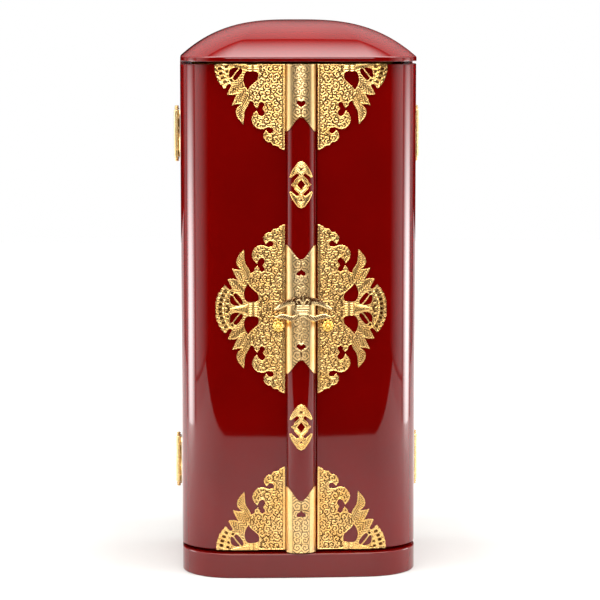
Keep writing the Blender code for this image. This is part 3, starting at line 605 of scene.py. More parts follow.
def reliefSheet(name, us, vs, field, near, heights, paintedShade, place, body, material, nodes, flip):
    # closed sheet: raised front from the grid points inside the outline, upright rim walls, flat back
    step = us[1] - us[0]
    rows, cols = field.shape
    middle = (field[:-1, :-1] + field[1:, :-1] + field[:-1, 1:] + field[1:, 1:]) / 4
    kept = middle > 0
    around = np.zeros((rows, cols), int)
    for dj in (0, 1):
        for di in (0, 1):
            around[dj:rows - 1 + dj, di:cols - 1 + di] += kept
    used = around > 0
    rim = used & (around < 4)
    u, v = np.meshgrid(us, vs)
    snap = rim & (np.abs(field) < step * 0.8)
    u = np.where(snap, near[0], u)
    v = np.where(snap, near[1], v)
    index = np.full((rows, cols), -1)
    index[used] = np.arange(used.sum())
    topU, topV, topH, topShade = u[used], v[used], heights[used], paintedShade[used]
    jj, ii = np.nonzero(kept)
    quads = np.stack([index[jj, ii], index[jj, ii + 1], index[jj + 1, ii + 1], index[jj + 1, ii]], 1)
    rimIndex = np.full((rows, cols), -1)
    rimIndex[rim] = np.arange(rim.sum()) + used.sum()
    padded = np.pad(kept, 1)
    walls, edges = [], []
    sides = ((0, -1, (0, 0), (0, 1)), (1, 0, (0, 1), (1, 1)), (0, 1, (1, 1), (1, 0)), (-1, 0, (1, 0), (0, 0)))
    for di, dj, a, b in sides:
        open_ = kept & ~padded[1 + dj:1 + dj + rows - 1, 1 + di:1 + di + cols - 1]
        j, i = np.nonzero(open_)
        ta, tb = index[j + a[0], i + a[1]], index[j + b[0], i + b[1]]
        ba, bb = rimIndex[j + a[0], i + a[1]], rimIndex[j + b[0], i + b[1]]
        walls.append(np.stack([tb, ta, ba, bb], 1))
        edges.append(np.stack([ba, bb], 1))
    faces = [tuple(f) for f in np.concatenate([quads] + walls)]
    edges = np.concatenate(edges)
    # the back, filled between the rims
    rimU, rimV = u[rim], v[rim]
    first = int(used.sum())
    flat = [Vector((a, b)) for a, b in zip(rimU, rimV)]
    pairs = [(int(a) - first, int(b) - first) for a, b in edges]
    _, _, backFaces, sources, _, _ = delaunay_2d_cdt(flat, pairs, [], 1, 1e-5)
    backFaces = np.array([[sources[i][0] for i in face] for face in backFaces if all(sources[i] for i in face)])
    atU, atV = rimU[backFaces].mean(1), rimV[backFaces].mean(1)
    inside = np.zeros(len(backFaces), bool)
    for a, b in pairs:
        au, av, bu, bv = rimU[a], rimV[a], rimU[b], rimV[b]
        if av != bv:
            inside ^= ((av > atV) != (bv > atV)) & (atU < (bu - au) * (atV - av) / (bv - av) + au)
    faces += [tuple(f) for f in backFaces[inside][:, ::-1] + first]
    allU, allV = np.concatenate([topU, rimU]), np.concatenate([topV, rimV])
    out = np.concatenate([topH, np.full(len(rimU), 0.05)])   # the back stands 0.05 mm off what carries it
    x, y, z = place(allU * mm, allV * mm, out * mm)
    # painted shade: the rim walls' feet and the back get a fixed dark amount, a painted shadow line round each
    # sheet
    values = np.concatenate([topShade, np.full(len(rimU), 0.6)])
    if not flip:
        faces = [f[::-1] for f in faces]
    return makePiece(name, np.stack([x, y, z], 1), faces, body, [material], nodes, sharp=60, values=values)


# door plates

plate = {
    # millimetres: gap behind, ground thickness, rim height, grid step, pitch of curls, spacing of scrolls
    "gap": 0.30, "ground": 0.42, "rim": 0.42, "step": 0.28, "pitch": 2.3, "spacing": 5.2,
    "fanMiddle": 26.0, "width": 55.7, "half": 68.8,
    # outline of one quarter in millimetres: outward from the inner edge, away from the collar
    "runs": (
        ((55.7, 0), (55.5, 5.6), (53.2, 12.8), (48.5, 19.4)),
        ((48.5, 19.4), (45.0, 15.9), (42.9, 16.5), (42.9, 18.2)),
        ((42.9, 18.2), (44.6, 21.0), (46.0, 24.3)),
        ((46.0, 24.3), (41.6, 24.5), (37.3, 23.1)),
        ((37.3, 23.1), (39.6, 26.9), (42.4, 32.9)),
        ((42.4, 32.9), (38.6, 32.0), (34.4, 31.8)),
        ((34.4, 31.8), (38.6, 36.2), (38.2, 41.8), (33.2, 48.1)),
        ((33.2, 48.1), (32.4, 38.3), (29.0, 32.0), (27.9, 28.8)),
        ((27.9, 28.8), (25.0, 30.6), (24.4, 32.9), (22.3, 35.0)),
        ((22.3, 35.0), (21.0, 33.0), (20.7, 31.0)),
        ((20.7, 31.0), (18.3, 30.0), (16.1, 32.2), (17.8, 35.8)),
        ((17.8, 35.8), (15.8, 38.8), (18.0, 42.0), (21.1, 40.4), (22.6, 37.2)),
        ((22.6, 37.2), (25.6, 41.0), (26.2, 45.8), (22.8, 50.6), (18.2, 51.8), (13.9, 50.3)),
        ((13.9, 50.3), (10.0, 51.0), (9.0, 54.0), (12.0, 55.8), (15.1, 53.1)),
        ((15.1, 53.1), (17.0, 56.4), (16.4, 59.6), (13.8, 62.0), (11.2, 62.4), (9.4, 64.6), (5.8, 65.4),
         (3.6, 67.3), (0, 68.8)),
    ),
    "windows": (
        ((44.2, 11.3), (42.4, 10.5), (39.8, 6.7), (36.9, 2.9), (41.4, 3.1), (43.9, 4.9), (44.6, 8.2)),
        ((40.1, 13.1), (38.3, 12.1), (34.9, 8.0), (33.9, 5.1), (35.6, 3.6), (38.9, 7.4), (41.6, 11.3)),
        ((29.8, 20.9), (28.0, 18.2), (24.4, 14.9), (21.6, 12.0), (21.5, 6.9),
         (26.2, 5.7), (30.6, 6.0), (32.6, 9.0), (33.1, 12.7), (32.2, 16.8)),
    ),
    # leaf midribs, from stalk to tip
    "ribs": (((33.6, 12.6), (45.6, 24.0)), ((32.4, 21.0), (42.0, 32.6)),
             ((31.0, 25.0), (35.6, 37.6), (33.6, 47.0))),
}


def nearRibs(u, v):
    # distance from the nearest leaf midrib, and a hatching coordinate that runs slantwise from it
    best, hatch = np.full(u.shape, 1e9), np.zeros(u.shape)
    for rib in plate["ribs"]:
        pts = splinePoints(rib, 12) if len(rib) > 2 else rib
        reach = 0.0
        for (ax, ay), (bx, by) in zip(pts, pts[1:]):
            ex, ey = bx - ax, by - ay
            size = math.hypot(ex, ey)
            t = np.clip(((u - ax) * ex + (v - ay) * ey) / size ** 2, 0, 1)
            d = np.hypot(u - ax - t * ex, v - ay - t * ey)
            closer = d < best
            best = np.where(closer, d, best)
            hatch = np.where(closer, reach + t * size - d * 0.9, hatch)
            reach += size
    return best, hatch


def plateRelief(us, vs, field):
    # height of the front above the door, and how much painted shade each point gets; bare numbers are millimetres
    # on the plate, as in the outline, or heights in millimetres
    u, v = np.meshgrid(us, vs)
    v = np.abs(v)
    inner = np.clip(field, 0, None)
    rim = roundedRim(inner)
    ridges = spiralGround(u, v, scrollCentres(plate["spacing"], plate["width"], plate["half"]), plate["pitch"])
    # the body beside the seam, the fan at the far end, the leaves between them
    split = 28.7 - 0.9 * lineAt(v - 24, 3.0)
    body = (u < split) | (v > 50)
    radius = np.hypot(u - plate["fanMiddle"], v)
    angle = np.degrees(np.arctan2(v, u - plate["fanMiddle"]))
    fan = ~body & (radius > 18.4) & (u > 41.5) & (angle < 41.2 + (radius - 24) * 0.2) & (v < 19.6)
    leaves = ~body & ~fan
    # leaves: hatched, with a raised midrib
    fromRib, hatch = nearRibs(u, v)
    wave = np.cos(2 * math.pi * hatch / 1.8)
    leafRise = 0.12 + 0.14 * wave + 0.26 * lineAt(fromRib, 0.45)
    veins = lineAt(fromRib - 0.95, 0.30) * (np.cos(2 * math.pi * hatch / 2.3) > 0.55)
    # fan: two rows of sunk pockets between ribs, and a scalloped edge
    outerAcross = ((angle + 4.15) % 8.3) / 8.3 - 0.5
    innerAcross = ((angle - 1.0) % 10.6) / 10.6 - 0.5
    outerDip = (np.abs((radius - 26.3) / 2.0) ** 3 + np.abs(outerAcross / 0.40) ** 3) ** (1 / 3)
    innerDip = (np.abs((radius - 21.0) / 1.7) ** 3 + np.abs(innerAcross / 0.36) ** 3) ** (1 / 3)
    pockets = np.clip(2.6 * (1 - np.minimum(outerDip, innerDip)), 0, 1) * fan
    fanRise = 0.20 + 0.14 * np.cos(2 * math.pi * outerAcross) * (radius > 23.5)
    fanRise = fanRise - 0.12 * lineAt(radius - 23.7, 0.30)
    # ribbed collar and pointed stem with a ball tip
    collar = (u > 21.3) & (u < 30.2) & (v < 6.0)
    bead = np.abs(np.sin(math.pi * (u - 21.3) / 4.45)) ** 0.7
    ribs = 0.38 * bead * (0.8 + 0.2 * np.cos(2 * math.pi * v / 1.9))
    ribs = ribs + 0.14 * np.sqrt(np.clip(1 - (v / 6.2) ** 2, 0, 1)) - 0.22 * lineAt(u - 25.75, 0.30)
    stemHalf = np.interp(u, [30, 33, 41.5, 43, 44.2, 44.9], [4.6, 3.4, 1.7, 1.0, 1.3, 0.1])
    stem = (u >= 30.2) & (u < 44.9) & (v < stemHalf)
    stemRise = 0.15 + 0.36 * np.sqrt(np.clip(1 - (v / stemHalf) ** 2, 0, 1))
    tip = (u >= 43.2) & (u < 46.6) & (v < 1.9) & ~stem
    heights = np.where(body, 0.30 * ridges, 0.0)
    for region, rise in ((leaves, leafRise - 0.10 * veins), (fan, fanRise - 0.30 * pockets), (collar, ribs),
                         (stem, stemRise), (tip, -0.05)):
        heights = np.where(region, rise, heights)
    # a plain band along the seam with a sunk line beside it
    edge = body & (u > 1.5) & (u < 2.0)
    heights = np.where(edge, -0.04, heights)
    heights = np.where((u <= 1.5) & body, 0.30, heights)
    rimHigh = np.where(collar | stem, 0.0, np.where(leaves | fan, 0.26, plate["rim"]))
    heights = np.maximum(heights, rimHigh * rim)
    lip = lineAt(inner - 1.22, 0.16) * body * (u > 2.2) * ~collar
    slit = lineAt(u - split, 0.30) * (v > 19.5) * (v < 29)
    heights = heights - 0.16 * lip - 0.4 * slit
    soft = blurred(heights, 1) * 0.45 + heights * 0.55
    ground = body * (inner > 0.9) * (u > 1.8) * ~collar
    # painted shade in the grooves between the ridges, in the fan's pockets, the lip, slit, veins and round the
    # ball tip, in the leaves' hatch troughs and between the collar's ribs; less of it on the raised rim
    shadeTone = np.maximum.reduce([ground * (1 - ridges) ** 1.5 * 1.25, pockets * 0.95, lip * 0.40, slit * 0.95,
                              tip * 0.9, edge * 0.45, veins * leaves * 0.55])
    shadeTone = np.where(leaves & ~stem & ~collar, np.maximum(shadeTone, 0.42 - 0.50 * wave), shadeTone)
    shadeTone = np.where(collar, np.clip(0.30 - ribs, 0, 1) * 1.6, shadeTone)
    shadeTone = np.where(rim * rimHigh > 0.1, shadeTone * 0.3, shadeTone)
    return plate["gap"] + plate["ground"] + soft, np.clip(shadeTone, 0, 1)


def makePlates():
    step = plate["step"]
    fanEdge = scalloped(splinePoints(plate["runs"][0], 14), 0.5, 3.8)
    outline = fanEdge + scalloped(joinRuns(plate["runs"][1:], 9), 0.28, 2.7)[1:]
    windows = [splinePoints(w + (w[0],), 3)[:-1] for w in plate["windows"]]
    us = np.arange(-step, plate["width"] + 2 * step, step)
    half = np.arange(0, plate["half"] + 2 * step, step)
    both = np.concatenate([-half[::-1][:-1], half])
    down = [(a, -b) for a, b in outline]
    # the top plate is the bottom one turned over
    fields = {
        "middle": (both, [outline + down[:0:-1], *windows, *[[(a, -b) for a, b in w] for w in windows]]),
        "bottom": (np.arange(-step, plate["half"] + 2 * step, step), [[(0, 0), *outline], *windows]),
    }
    done = {}
    for kind, (vs, loops) in fields.items():
        u, v = np.meshgrid(us, vs)
        field, nearU, nearV = distanceField(u, v, loops)
        heights, paintedShade = plateRelief(us, vs, field)
        done[kind] = (vs, field, (nearU, nearV), heights, paintedShade)
    for side, flip in (("left", True), ("right", False)):
        line = doorLine(doorStarts[side])
        for spot in ("top", "middle", "bottom"):
            node = f"door_plate_{side}_{spot}"
            low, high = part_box(node)
            edge = low.x if side == "right" else -high.x
            vs, field, near, heights, paintedShade = done["middle" if spot == "middle" else "bottom"]
            height = {"top": high.z, "middle": (low.z + high.z) / 2, "bottom": low.z}[spot]
            upward = -1 if spot == "top" else 1

            def place(a, b, out, line=line, edge=edge, height=height, upward=upward, side=side):
                x, y = along(line, a + edge - doorStarts[side], out)
                return (-x if side == "left" else x), y, height + b * upward

            reliefSheet(f"{side}{spot.capitalize()}Plate", us, vs, field, near, heights, paintedShade, place,
                        doorBodies[side], chasedGilt, [node], flip != (upward < 0))


makePlates()
print("door plates made")


# strip fittings and ornaments

fitting = {"front": 0.636, "step": 0.33, "notch": 11.2, "notchShare": 0.40, "pitch": 2.2,
           "heart": (7.5, 5.6), "heartFromNotch": 10.8, "bandHalf": 6.6,
           "curlPast": 13, "curlFromEnd": 4.5, "curlEvery": 5.6}


def stripReach():
    # length round the strip's section, in millimetres
    return float(np.hypot(*np.diff(np.asarray(stripLine()), axis=0).T).sum()) / mm


def heartLoop(middleU, middleV, direction):
    points = []
    for i in range(40):
        a = 2 * math.pi * (i + 0.5) / 40
        across = math.sin(a) ** 3
        up = (13 * math.cos(a) - 5 * math.cos(2 * a) - 2 * math.cos(3 * a) - math.cos(4 * a)) / 28
        points.append((middleU + across * fitting["heart"][0] / 2,
                       middleV + direction * up * fitting["heart"][1]))
    return points


def fittingOutline(reach, low, high, below, above):
    # a flat sheet with a wavy notch in each end that lies on the strip
    def edge(corner, direction):
        line = [(0.3, corner)]
        for i in range(41):
            share = 2 * i / 40 - 1
            line.append((reach / 2 + reach * fitting["notchShare"] * share,
                         corner + direction * fitting["notch"] * (1 + math.cos(math.pi * share)) / 2))
        return line + [(reach - 0.3, corner)]

    bottom = edge(low, 1) if below else [(0.3, low), (reach - 0.3, low)]
    top = edge(high, -1) if above else [(0.3, high), (reach - 0.3, high)]
    return bottom + top[::-1]


def makeFittings():
    line, reach = stripLine(), stripReach()
    middle = reach / 2
    notch, step = fitting["notch"], fitting["step"]
    us = np.arange(0, reach + step, step)
    for spot, below, above in (("top", True, False), ("middle", True, True), ("bottom", False, True)):
        node = "strip_fitting_" + spot
        boxLow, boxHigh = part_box(node)
        length = (boxHigh.z - boxLow.z) / mm
        vs = np.arange(-step, length + 2 * step, step)
        hearts = []
        if below:
            hearts.append((notch + fitting["heartFromNotch"], 1))
        if above:
            hearts.append((length - notch - fitting["heartFromNotch"], -1))
        loops = [fittingOutline(reach, 0, length, below, above)]
        loops += [heartLoop(middle, at, way) for at, way in hearts]
        u, v = np.meshgrid(us, vs)
        field, nearU, nearV = distanceField(u, v, loops)
        inner = np.clip(field, 0, None)
        start = notch + fitting["curlPast"] if below else fitting["curlFromEnd"]
        end = length - (notch + fitting["curlPast"] if above else fitting["curlFromEnd"])
        rowsOf = max(2, round((end - start) / fitting["curlEvery"]))
        curls = []   # mirrored pairs up the band, and smaller ones round each heart
        for k in range(rowsOf + 1):
            at = start + (end - start) * k / rowsOf
            curls += [(middle + hand * 3.2, at + 1.2 * (k % 2), 3.0, 90 + 40 * k, hand) for hand in (1, -1)]
        for at, way in hearts:
            curls += [(middle + hand * 3.0, at - way * 6.6, 2.4, 90 * way, -hand * way) for hand in (1, -1)]
            curls += [(middle + hand * 4.9, at + way * 1.5, 2.0, 90 * way, hand * way) for hand in (1, -1)]
        ridges = spiralGround(u, v, curls, fitting["pitch"])
        band = np.abs(u - middle) < fitting["bandHalf"]
        heights = np.where(band, 0.25 * ridges, 0.34)
        cuts = np.zeros(u.shape)
        crease = np.abs(np.abs(u - middle) - fitting["bandHalf"]) < 0.30
        heights = np.where(crease, 0.05, heights)
        for at, way in hearts:
            ring, _, _ = distanceField(u, v, [heartLoop(middle, at, way)])
            heights = np.maximum(heights, 0.45 * lineAt(ring + 0.7, 0.45))
            slit = lineAt(u - middle, 0.32) * (np.abs(v - (at - way * 7.0)) < 3.6)
            heights = heights - 0.35 * slit
            cuts = np.maximum(cuts, slit)
        heights = np.maximum(heights, 0.40 * roundedRim(inner))
        heights = np.where((inner > 1.15) & (inner < 1.5), np.minimum(heights, 0.1), heights)
        soft = blurred(heights, 1) * 0.5 + heights * 0.5
        ground = band * (heights < 0.40)
        # painted shade in the slits, in the band's grooves between the curls and along the creases
        shadeTone = np.maximum.reduce([cuts * 0.9, ground * (1 - ridges) ** 2, crease * 0.45])

        def place(a, b, out, boxLow=boxLow):
            x, y = along(line, a, out)
            return x, y, boxLow.z + b

        reliefSheet(spot + "StripFitting", us, vs, field, (nearU, nearV), fitting["front"] + soft * 0.75, shadeTone,
                    place, "left_door", creamGilt, [node], False)


makeFittings()

ornament = {
    "step": 0.26, "front": 0.6, "half": (10.2, 19.6),
    # a quarter of the outline, in millimetres from the middle
    "quarter": ((0, 19.0), (2.6, 17.8), (4.4, 15.4), (7.0, 11.8), (8.6, 8.6), (9.7, 5.8), (8.0, 5.6), (5.6, 7.4),
                (3.4, 9.3), (1.6, 8.4), (1.8, 7.0), (5.4, 3.6), (5.6, 1.9), (7.7, 0.6)),
    "diamond": ((3.2, 0), (0, 4.2), (-3.2, 0), (0, -4.2)),
    "eyelet": ((-1.3, 13.3), (1.3, 13.3), (0, 11.1)),
}


def makeOrnaments():
    line, reach = stripLine(), stripReach()
    upper = list(ornament["quarter"])
    right = upper + [(a, -b) for a, b in reversed(upper)]
    outline = right + [(-a, b) for a, b in reversed(right[1:-1])]
    eyelets = [[(a, b * sign) for a, b in ornament["eyelet"]] for sign in (1, -1)]
    step = ornament["step"]
    us, vs = (np.arange(-half, half + step, step) for half in ornament["half"])
    u, v = np.meshgrid(us, vs)
    field, nearU, nearV = distanceField(u, v, [outline, list(ornament["diamond"]), *eyelets])
    inner = np.clip(field, 0, None)
    au, av = np.abs(u), np.abs(v)
    vein = 0.25 * np.abs(np.cos(math.pi * (av - au * 0.9) / 1.7)) * (av > 7.5)
    bar = 0.45 * lineAt(au * 0.75 + av - 5.1, 0.5) * (av < 7)
    heights = 0.15 + 0.55 * np.sqrt(np.clip(1 - (1 - np.clip(inner / 1.2, 0, 1)) ** 2, 0, 1)) + vein - bar * 0.8
    bead = 0.5 * np.sqrt(np.clip(1 - ((av - 8.0) / 1.5) ** 2 - (au / 1.7) ** 2, 0, 1))
    heights = heights + bead
    soft = blurred(heights, 1)
    # painted shade where the sheet lies lower than round about
    shadeTone = np.clip((blurred(heights, 4) - soft) * 2.0, 0, 1)
    for spot in ("upper", "lower"):
        node = "strip_ornament_" + spot
        low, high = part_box(node)
        middle = (low.z + high.z) / 2

        def place(a, b, out, middle=middle):
            x, y = along(line, a + reach / 2 * mm, out)
            return x, y, middle + b

        reliefSheet(spot + "StripOrnament", us, vs, field, (nearU, nearV), ornament["front"] + soft, shadeTone,
                    place, "left_door", chasedGilt, [node], False)


makeOrnaments()
print("strip fittings made")


# latch and knobs

latch = {
    "step": 0.3, "offFitting": 0.7, "half": 26.0, "flatHalf": 10, "curl": 5.2, "curlOver": 15, "front": 0.75,
    # right half of the outline, in millimetres up from the knobs' middle: crest, arm, waist, ribbon
    "runs": (
        ((0, 26.2), (1.6, 24.4), (3.4, 23.2)),
        ((3.4, 23.2), (9.0, 22.6), (16.5, 19.6), (25.0, 13.8)),
        ((25.0, 13.8), (20.5, 13.5), (13.0, 16.2), (5.2, 16.8)),
        ((5.2, 16.8), (5.2, 9.4)),
        ((5.2, 9.4), (9.0, 8.0), (15.0, 9.5), (19.0, 9.6), (24.0, 7.4)),
        ((24.0, 7.4), (20.0, 6.3), (15.0, 5.5), (9.8, 3.7), (4.6, 4.8), (0, 7.0)),
    ),
}
knobLow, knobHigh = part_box("knob_left")
knobRightLow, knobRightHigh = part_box("knob_right")
knobZ = (knobLow.z + knobHigh.z) / 2
knobX = {"left": (knobLow.x + knobHigh.x) / 2, "right": (knobRightLow.x + knobRightHigh.x) / 2}
latchLow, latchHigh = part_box("latch")
latchX = (latchLow.x + latchHigh.x) / 2


def makeLatch():
    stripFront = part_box("strip_fitting_middle")[0].y
    backY = stripFront - latch["offFitting"] * mm
    line = []   # plan: flat over the strip, both ends curling forward
    for i in range(-60, 61):
        x = latch["half"] * mm * i / 60
        out = max(0.0, abs(x) - latch["flatHalf"] * mm)
        line.append((x, backY - latch["curl"] * mm * (out / (latch["curlOver"] * mm)) ** 2))
    reach = float(np.hypot(*np.diff(np.asarray(line), axis=0).T).sum())
    right = joinRuns(latch["runs"], 8)
    outline = right + [(-a, b) for a, b in reversed(right[1:-1])]
    step = latch["step"]
    us = np.arange(-25.6, 25.6 + step, step)
    vs = np.arange(2.6, 27.2 + step, step)
    u, v = np.meshgrid(us, vs)
    field, nearU, nearV = distanceField(u, v, [outline])
    inner = np.clip(field, 0, None)
    au = np.abs(u)
    rise = 0.8 * np.sqrt(np.clip(1 - (1 - np.clip(inner / 1.5, 0, 1)) ** 2, 0, 1))
    upper = v > np.interp(au, [0, 5, 15, 25], [17.0, 16.5, 15.2, 12.0])
    twist = 0.22 * np.abs(np.cos(math.pi * (au - v * 0.7) / 1.9)) * (au > 4.5)
    heights = rise + twist
    waist = (au < 5.2) & (v > 9.2) & (v < 17)
    grooves = np.zeros(u.shape)
    for at, wide in ((11.2, 3.2), (13.2, 5.0), (15.2, 4.6)):
        grooves = np.maximum(grooves, lineAt(v - at, 0.32) * (au < wide))
    heights = np.where(waist, 0.7 - 0.5 * grooves, heights)
    # three petals on the crest, the outer two curling down
    fleur = np.zeros(u.shape)
    petals = []
    for hand in (1, -1):
        curl = [(hand * 0.9, 18.0), (hand * 2.8, 21.2), (hand * 5.2, 20.2), (hand * 4.2, 18.0)]
        petals += stroke(curl, 0.75, 0.7)
    petals += stroke([(0, 17.4), (0, 21.4), (0, 25.0)], 1.1, 0.8, 0.7)
    stamp(fleur, us[0], vs[0], step, petals)
    fleurArea = (au < 6.6) & (v > 16.9)
    heights = np.where(fleurArea, 0.35 + fleur * 0.9, heights)
    soft = blurred(heights, 1)
    # painted shade where the sheet lies lower than round about
    shadeTone = np.clip((blurred(heights, 3) - soft) * 2.0, 0, 1)
    lower = np.interp(au, [0, 4, 9, 16.5, 25], [17.0, 17.0, 18.4, 16.6, 13.8])
    # painted shade over the upper part of the upper arm, broken by a feathered pattern
    paintedTopShade = upper & (v > lower + 1.5) & (au < 19.5)
    feather = 0.5 + 0.5 * np.cos(2 * math.pi * (au + v * 0.9) / 2.2)
    shadeTone = np.where(paintedTopShade, 0.7 + 0.3 * feather, shadeTone)
    # painted shade round the fleur's petals and in the waist's grooves
    shadeTone = np.where(fleurArea, np.clip(1.1 - fleur * 2.2, 0, 1), shadeTone)
    shadeTone = np.where(waist, np.maximum(shadeTone, grooves * 0.95), shadeTone)
    # diagonal stripes of painted shade on the lower ribbon, as on a twisted cord
    ribbon = ~upper & (inner > 0.6) & (au > 3)
    shadeTone = np.where(ribbon & ~waist, 0.25 + 0.6 * feather, shadeTone)

    def place(a, b, out):
        x, y = along(line, a + reach / 2, out)
        return x + latchX, y, knobZ + b

    reliefSheet("ribbonLatch", us, vs, field, (nearU, nearV), latch["front"] + soft, shadeTone, place, "latch",
                paleGilt, ["latch"], False)
    # the eye round the left knob's post and its arm
    ringRows, verts = [], []
    eyeFront = backY + 0.1 * mm
    for i in range(48):
        a = 2 * math.pi * i / 48
        row = []
        for k in range(16):
            b = 2 * math.pi * k / 16
            radius = 3.3 * mm + 0.8 * mm * math.cos(b)
            verts.append((knobX["left"] + radius * math.cos(a), eyeFront + 0.7 * mm + 0.65 * mm * math.sin(b),
                          knobZ + radius * math.sin(a)))
            row.append(len(verts) - 1)
        ringRows.append(row)
    faces = placeRing(ringRows + [ringRows[0]], True)
    armRows = []
    for k in range(9):
        t = k / 8
        z = knobZ + (3.4 + 4.0 * min(1, t * 1.4)) * mm
        y = eyeFront + 0.7 * mm - 3.0 * mm * max(0, t - 0.45) / 0.55
        row = []
        for i in range(16):
            a = 2 * math.pi * i / 16
            deep = 0.6 * (1 if t < 0.6 else 0.5)
            verts.append((knobX["left"] + 1.7 * mm * math.cos(a), y + deep * mm * math.sin(a),
                          z + (0.5 * mm * math.sin(a) if t > 0.6 else 0)))
            row.append(len(verts) - 1)
        armRows.append(row)
    faces += placeRing(armRows) + [tuple(armRows[0])[::-1], tuple(armRows[-1])]
    makePiece("latchEye", verts, faces, "latch", [polishedGilt], [], values=np.zeros(len(verts)))


makeLatch()


def makeKnobs():
    # flower heads on turned posts: eight rounded lobes round a boss in a sunk ring
    knob = {"lobes": 8, "radius": 5.0, "depth": 4.5, "steps": 144, "rings": 44,
            "lobe": (3.15, 1.75, 1.3), "boss": (1.9, 2.4)}   # distance out, radius, centre height
    out, size, level = knob["lobe"]
    bossSize, bossLevel = knob["boss"]
    sector = 2 * math.pi / knob["lobes"]
    for side, body in doorBodies.items():
        low, high = (knobLow, knobHigh) if side == "left" else (knobRightLow, knobRightHigh)
        footY = high.y / mm
        headY = low.y / mm + knob["depth"]
        profile = [(3.4, footY), (3.4, footY - 0.5), (2.7, footY - 1.1), (2.2, footY - 1.6), (2.2, headY + 1.2),
                   (2.9, headY + 0.3), (4.3, headY - 0.1), (4.8, headY - 0.5)]
        verts, rows, values = [], [], []
        for radius, y in profile:
            rows.append(range(len(verts), len(verts) + knob["steps"]))
            for i in range(knob["steps"]):
                a = 2 * math.pi * i / knob["steps"]
                verts.append((knobX[side] + radius * math.cos(a) * mm, y * mm,
                              knobZ + radius * math.sin(a) * mm))
                # painted shade on the post under the head
                values.append(0.35)
        for k in range(knob["rings"]):
            radius = knob["radius"] * (1 - (k + 0.3) / knob["rings"])
            rows.append(range(len(verts), len(verts) + knob["steps"]))
            for i in range(knob["steps"]):
                a = 2 * math.pi * i / knob["steps"]
                turn = (a + sector / 2) % sector - sector / 2
                d2 = radius ** 2 + out ** 2 - 2 * radius * out * math.cos(turn)
                lobe = level + math.sqrt(max(0.0, size ** 2 - d2)) if d2 < size ** 2 else 0.0
                boss = bossLevel + math.sqrt(bossSize ** 2 - radius ** 2) if radius < bossSize else 0.0
                rise = max(0.9, lobe, boss)
                verts.append((knobX[side] + radius * math.cos(a) * mm, (headY - rise) * mm,
                              knobZ + radius * math.sin(a) * mm))
                # painted shade in the hollows between the lobes and round the boss
                values.append(float(min(1.0, max(0.0, 2.0 - rise) * 1.2)) if rise < 2.0 else 0.0)
        faces = placeRing(rows, True) + [tuple(rows[0]), tuple(rows[-1])[::-1]]
        makePiece(side + "Knob", verts, faces, body, [polishedGilt], ["knob_" + side], values=values, sharp=60)


makeKnobs()
print("latch and knobs made")


# hinges

hinge = {"knuckle": 2.5, "bore": 1.2, "pin": 0.9, "leaf": 0.8, "leafArris": 0.2, "width": 11.5, "lobe": 2.5,
         "lengths": (6.5, 13.3, 12.7, 6.3), "gap": 0.3, "steps": 32, "finial": 3.5, "finialRadius": 2.2,
         "nails": ((0.16, 5.6), (0.38, 7.4), (0.62, 7.4), (0.84, 5.6))}   # share of the height, distance out


def turned(profile, x, y, steps, verts, values):
    # rings of a profile of radius and height turned round an upright axis
    rows = []
    for radius, z in profile:
        row = []
        for i in range(steps):
            a = 2 * math.pi * i / steps
            verts.append((x + radius * math.cos(a), y + radius * math.sin(a), z))
            values.append(0.05)
            row.append(len(verts) - 1)
        rows.append(row)
    return rows


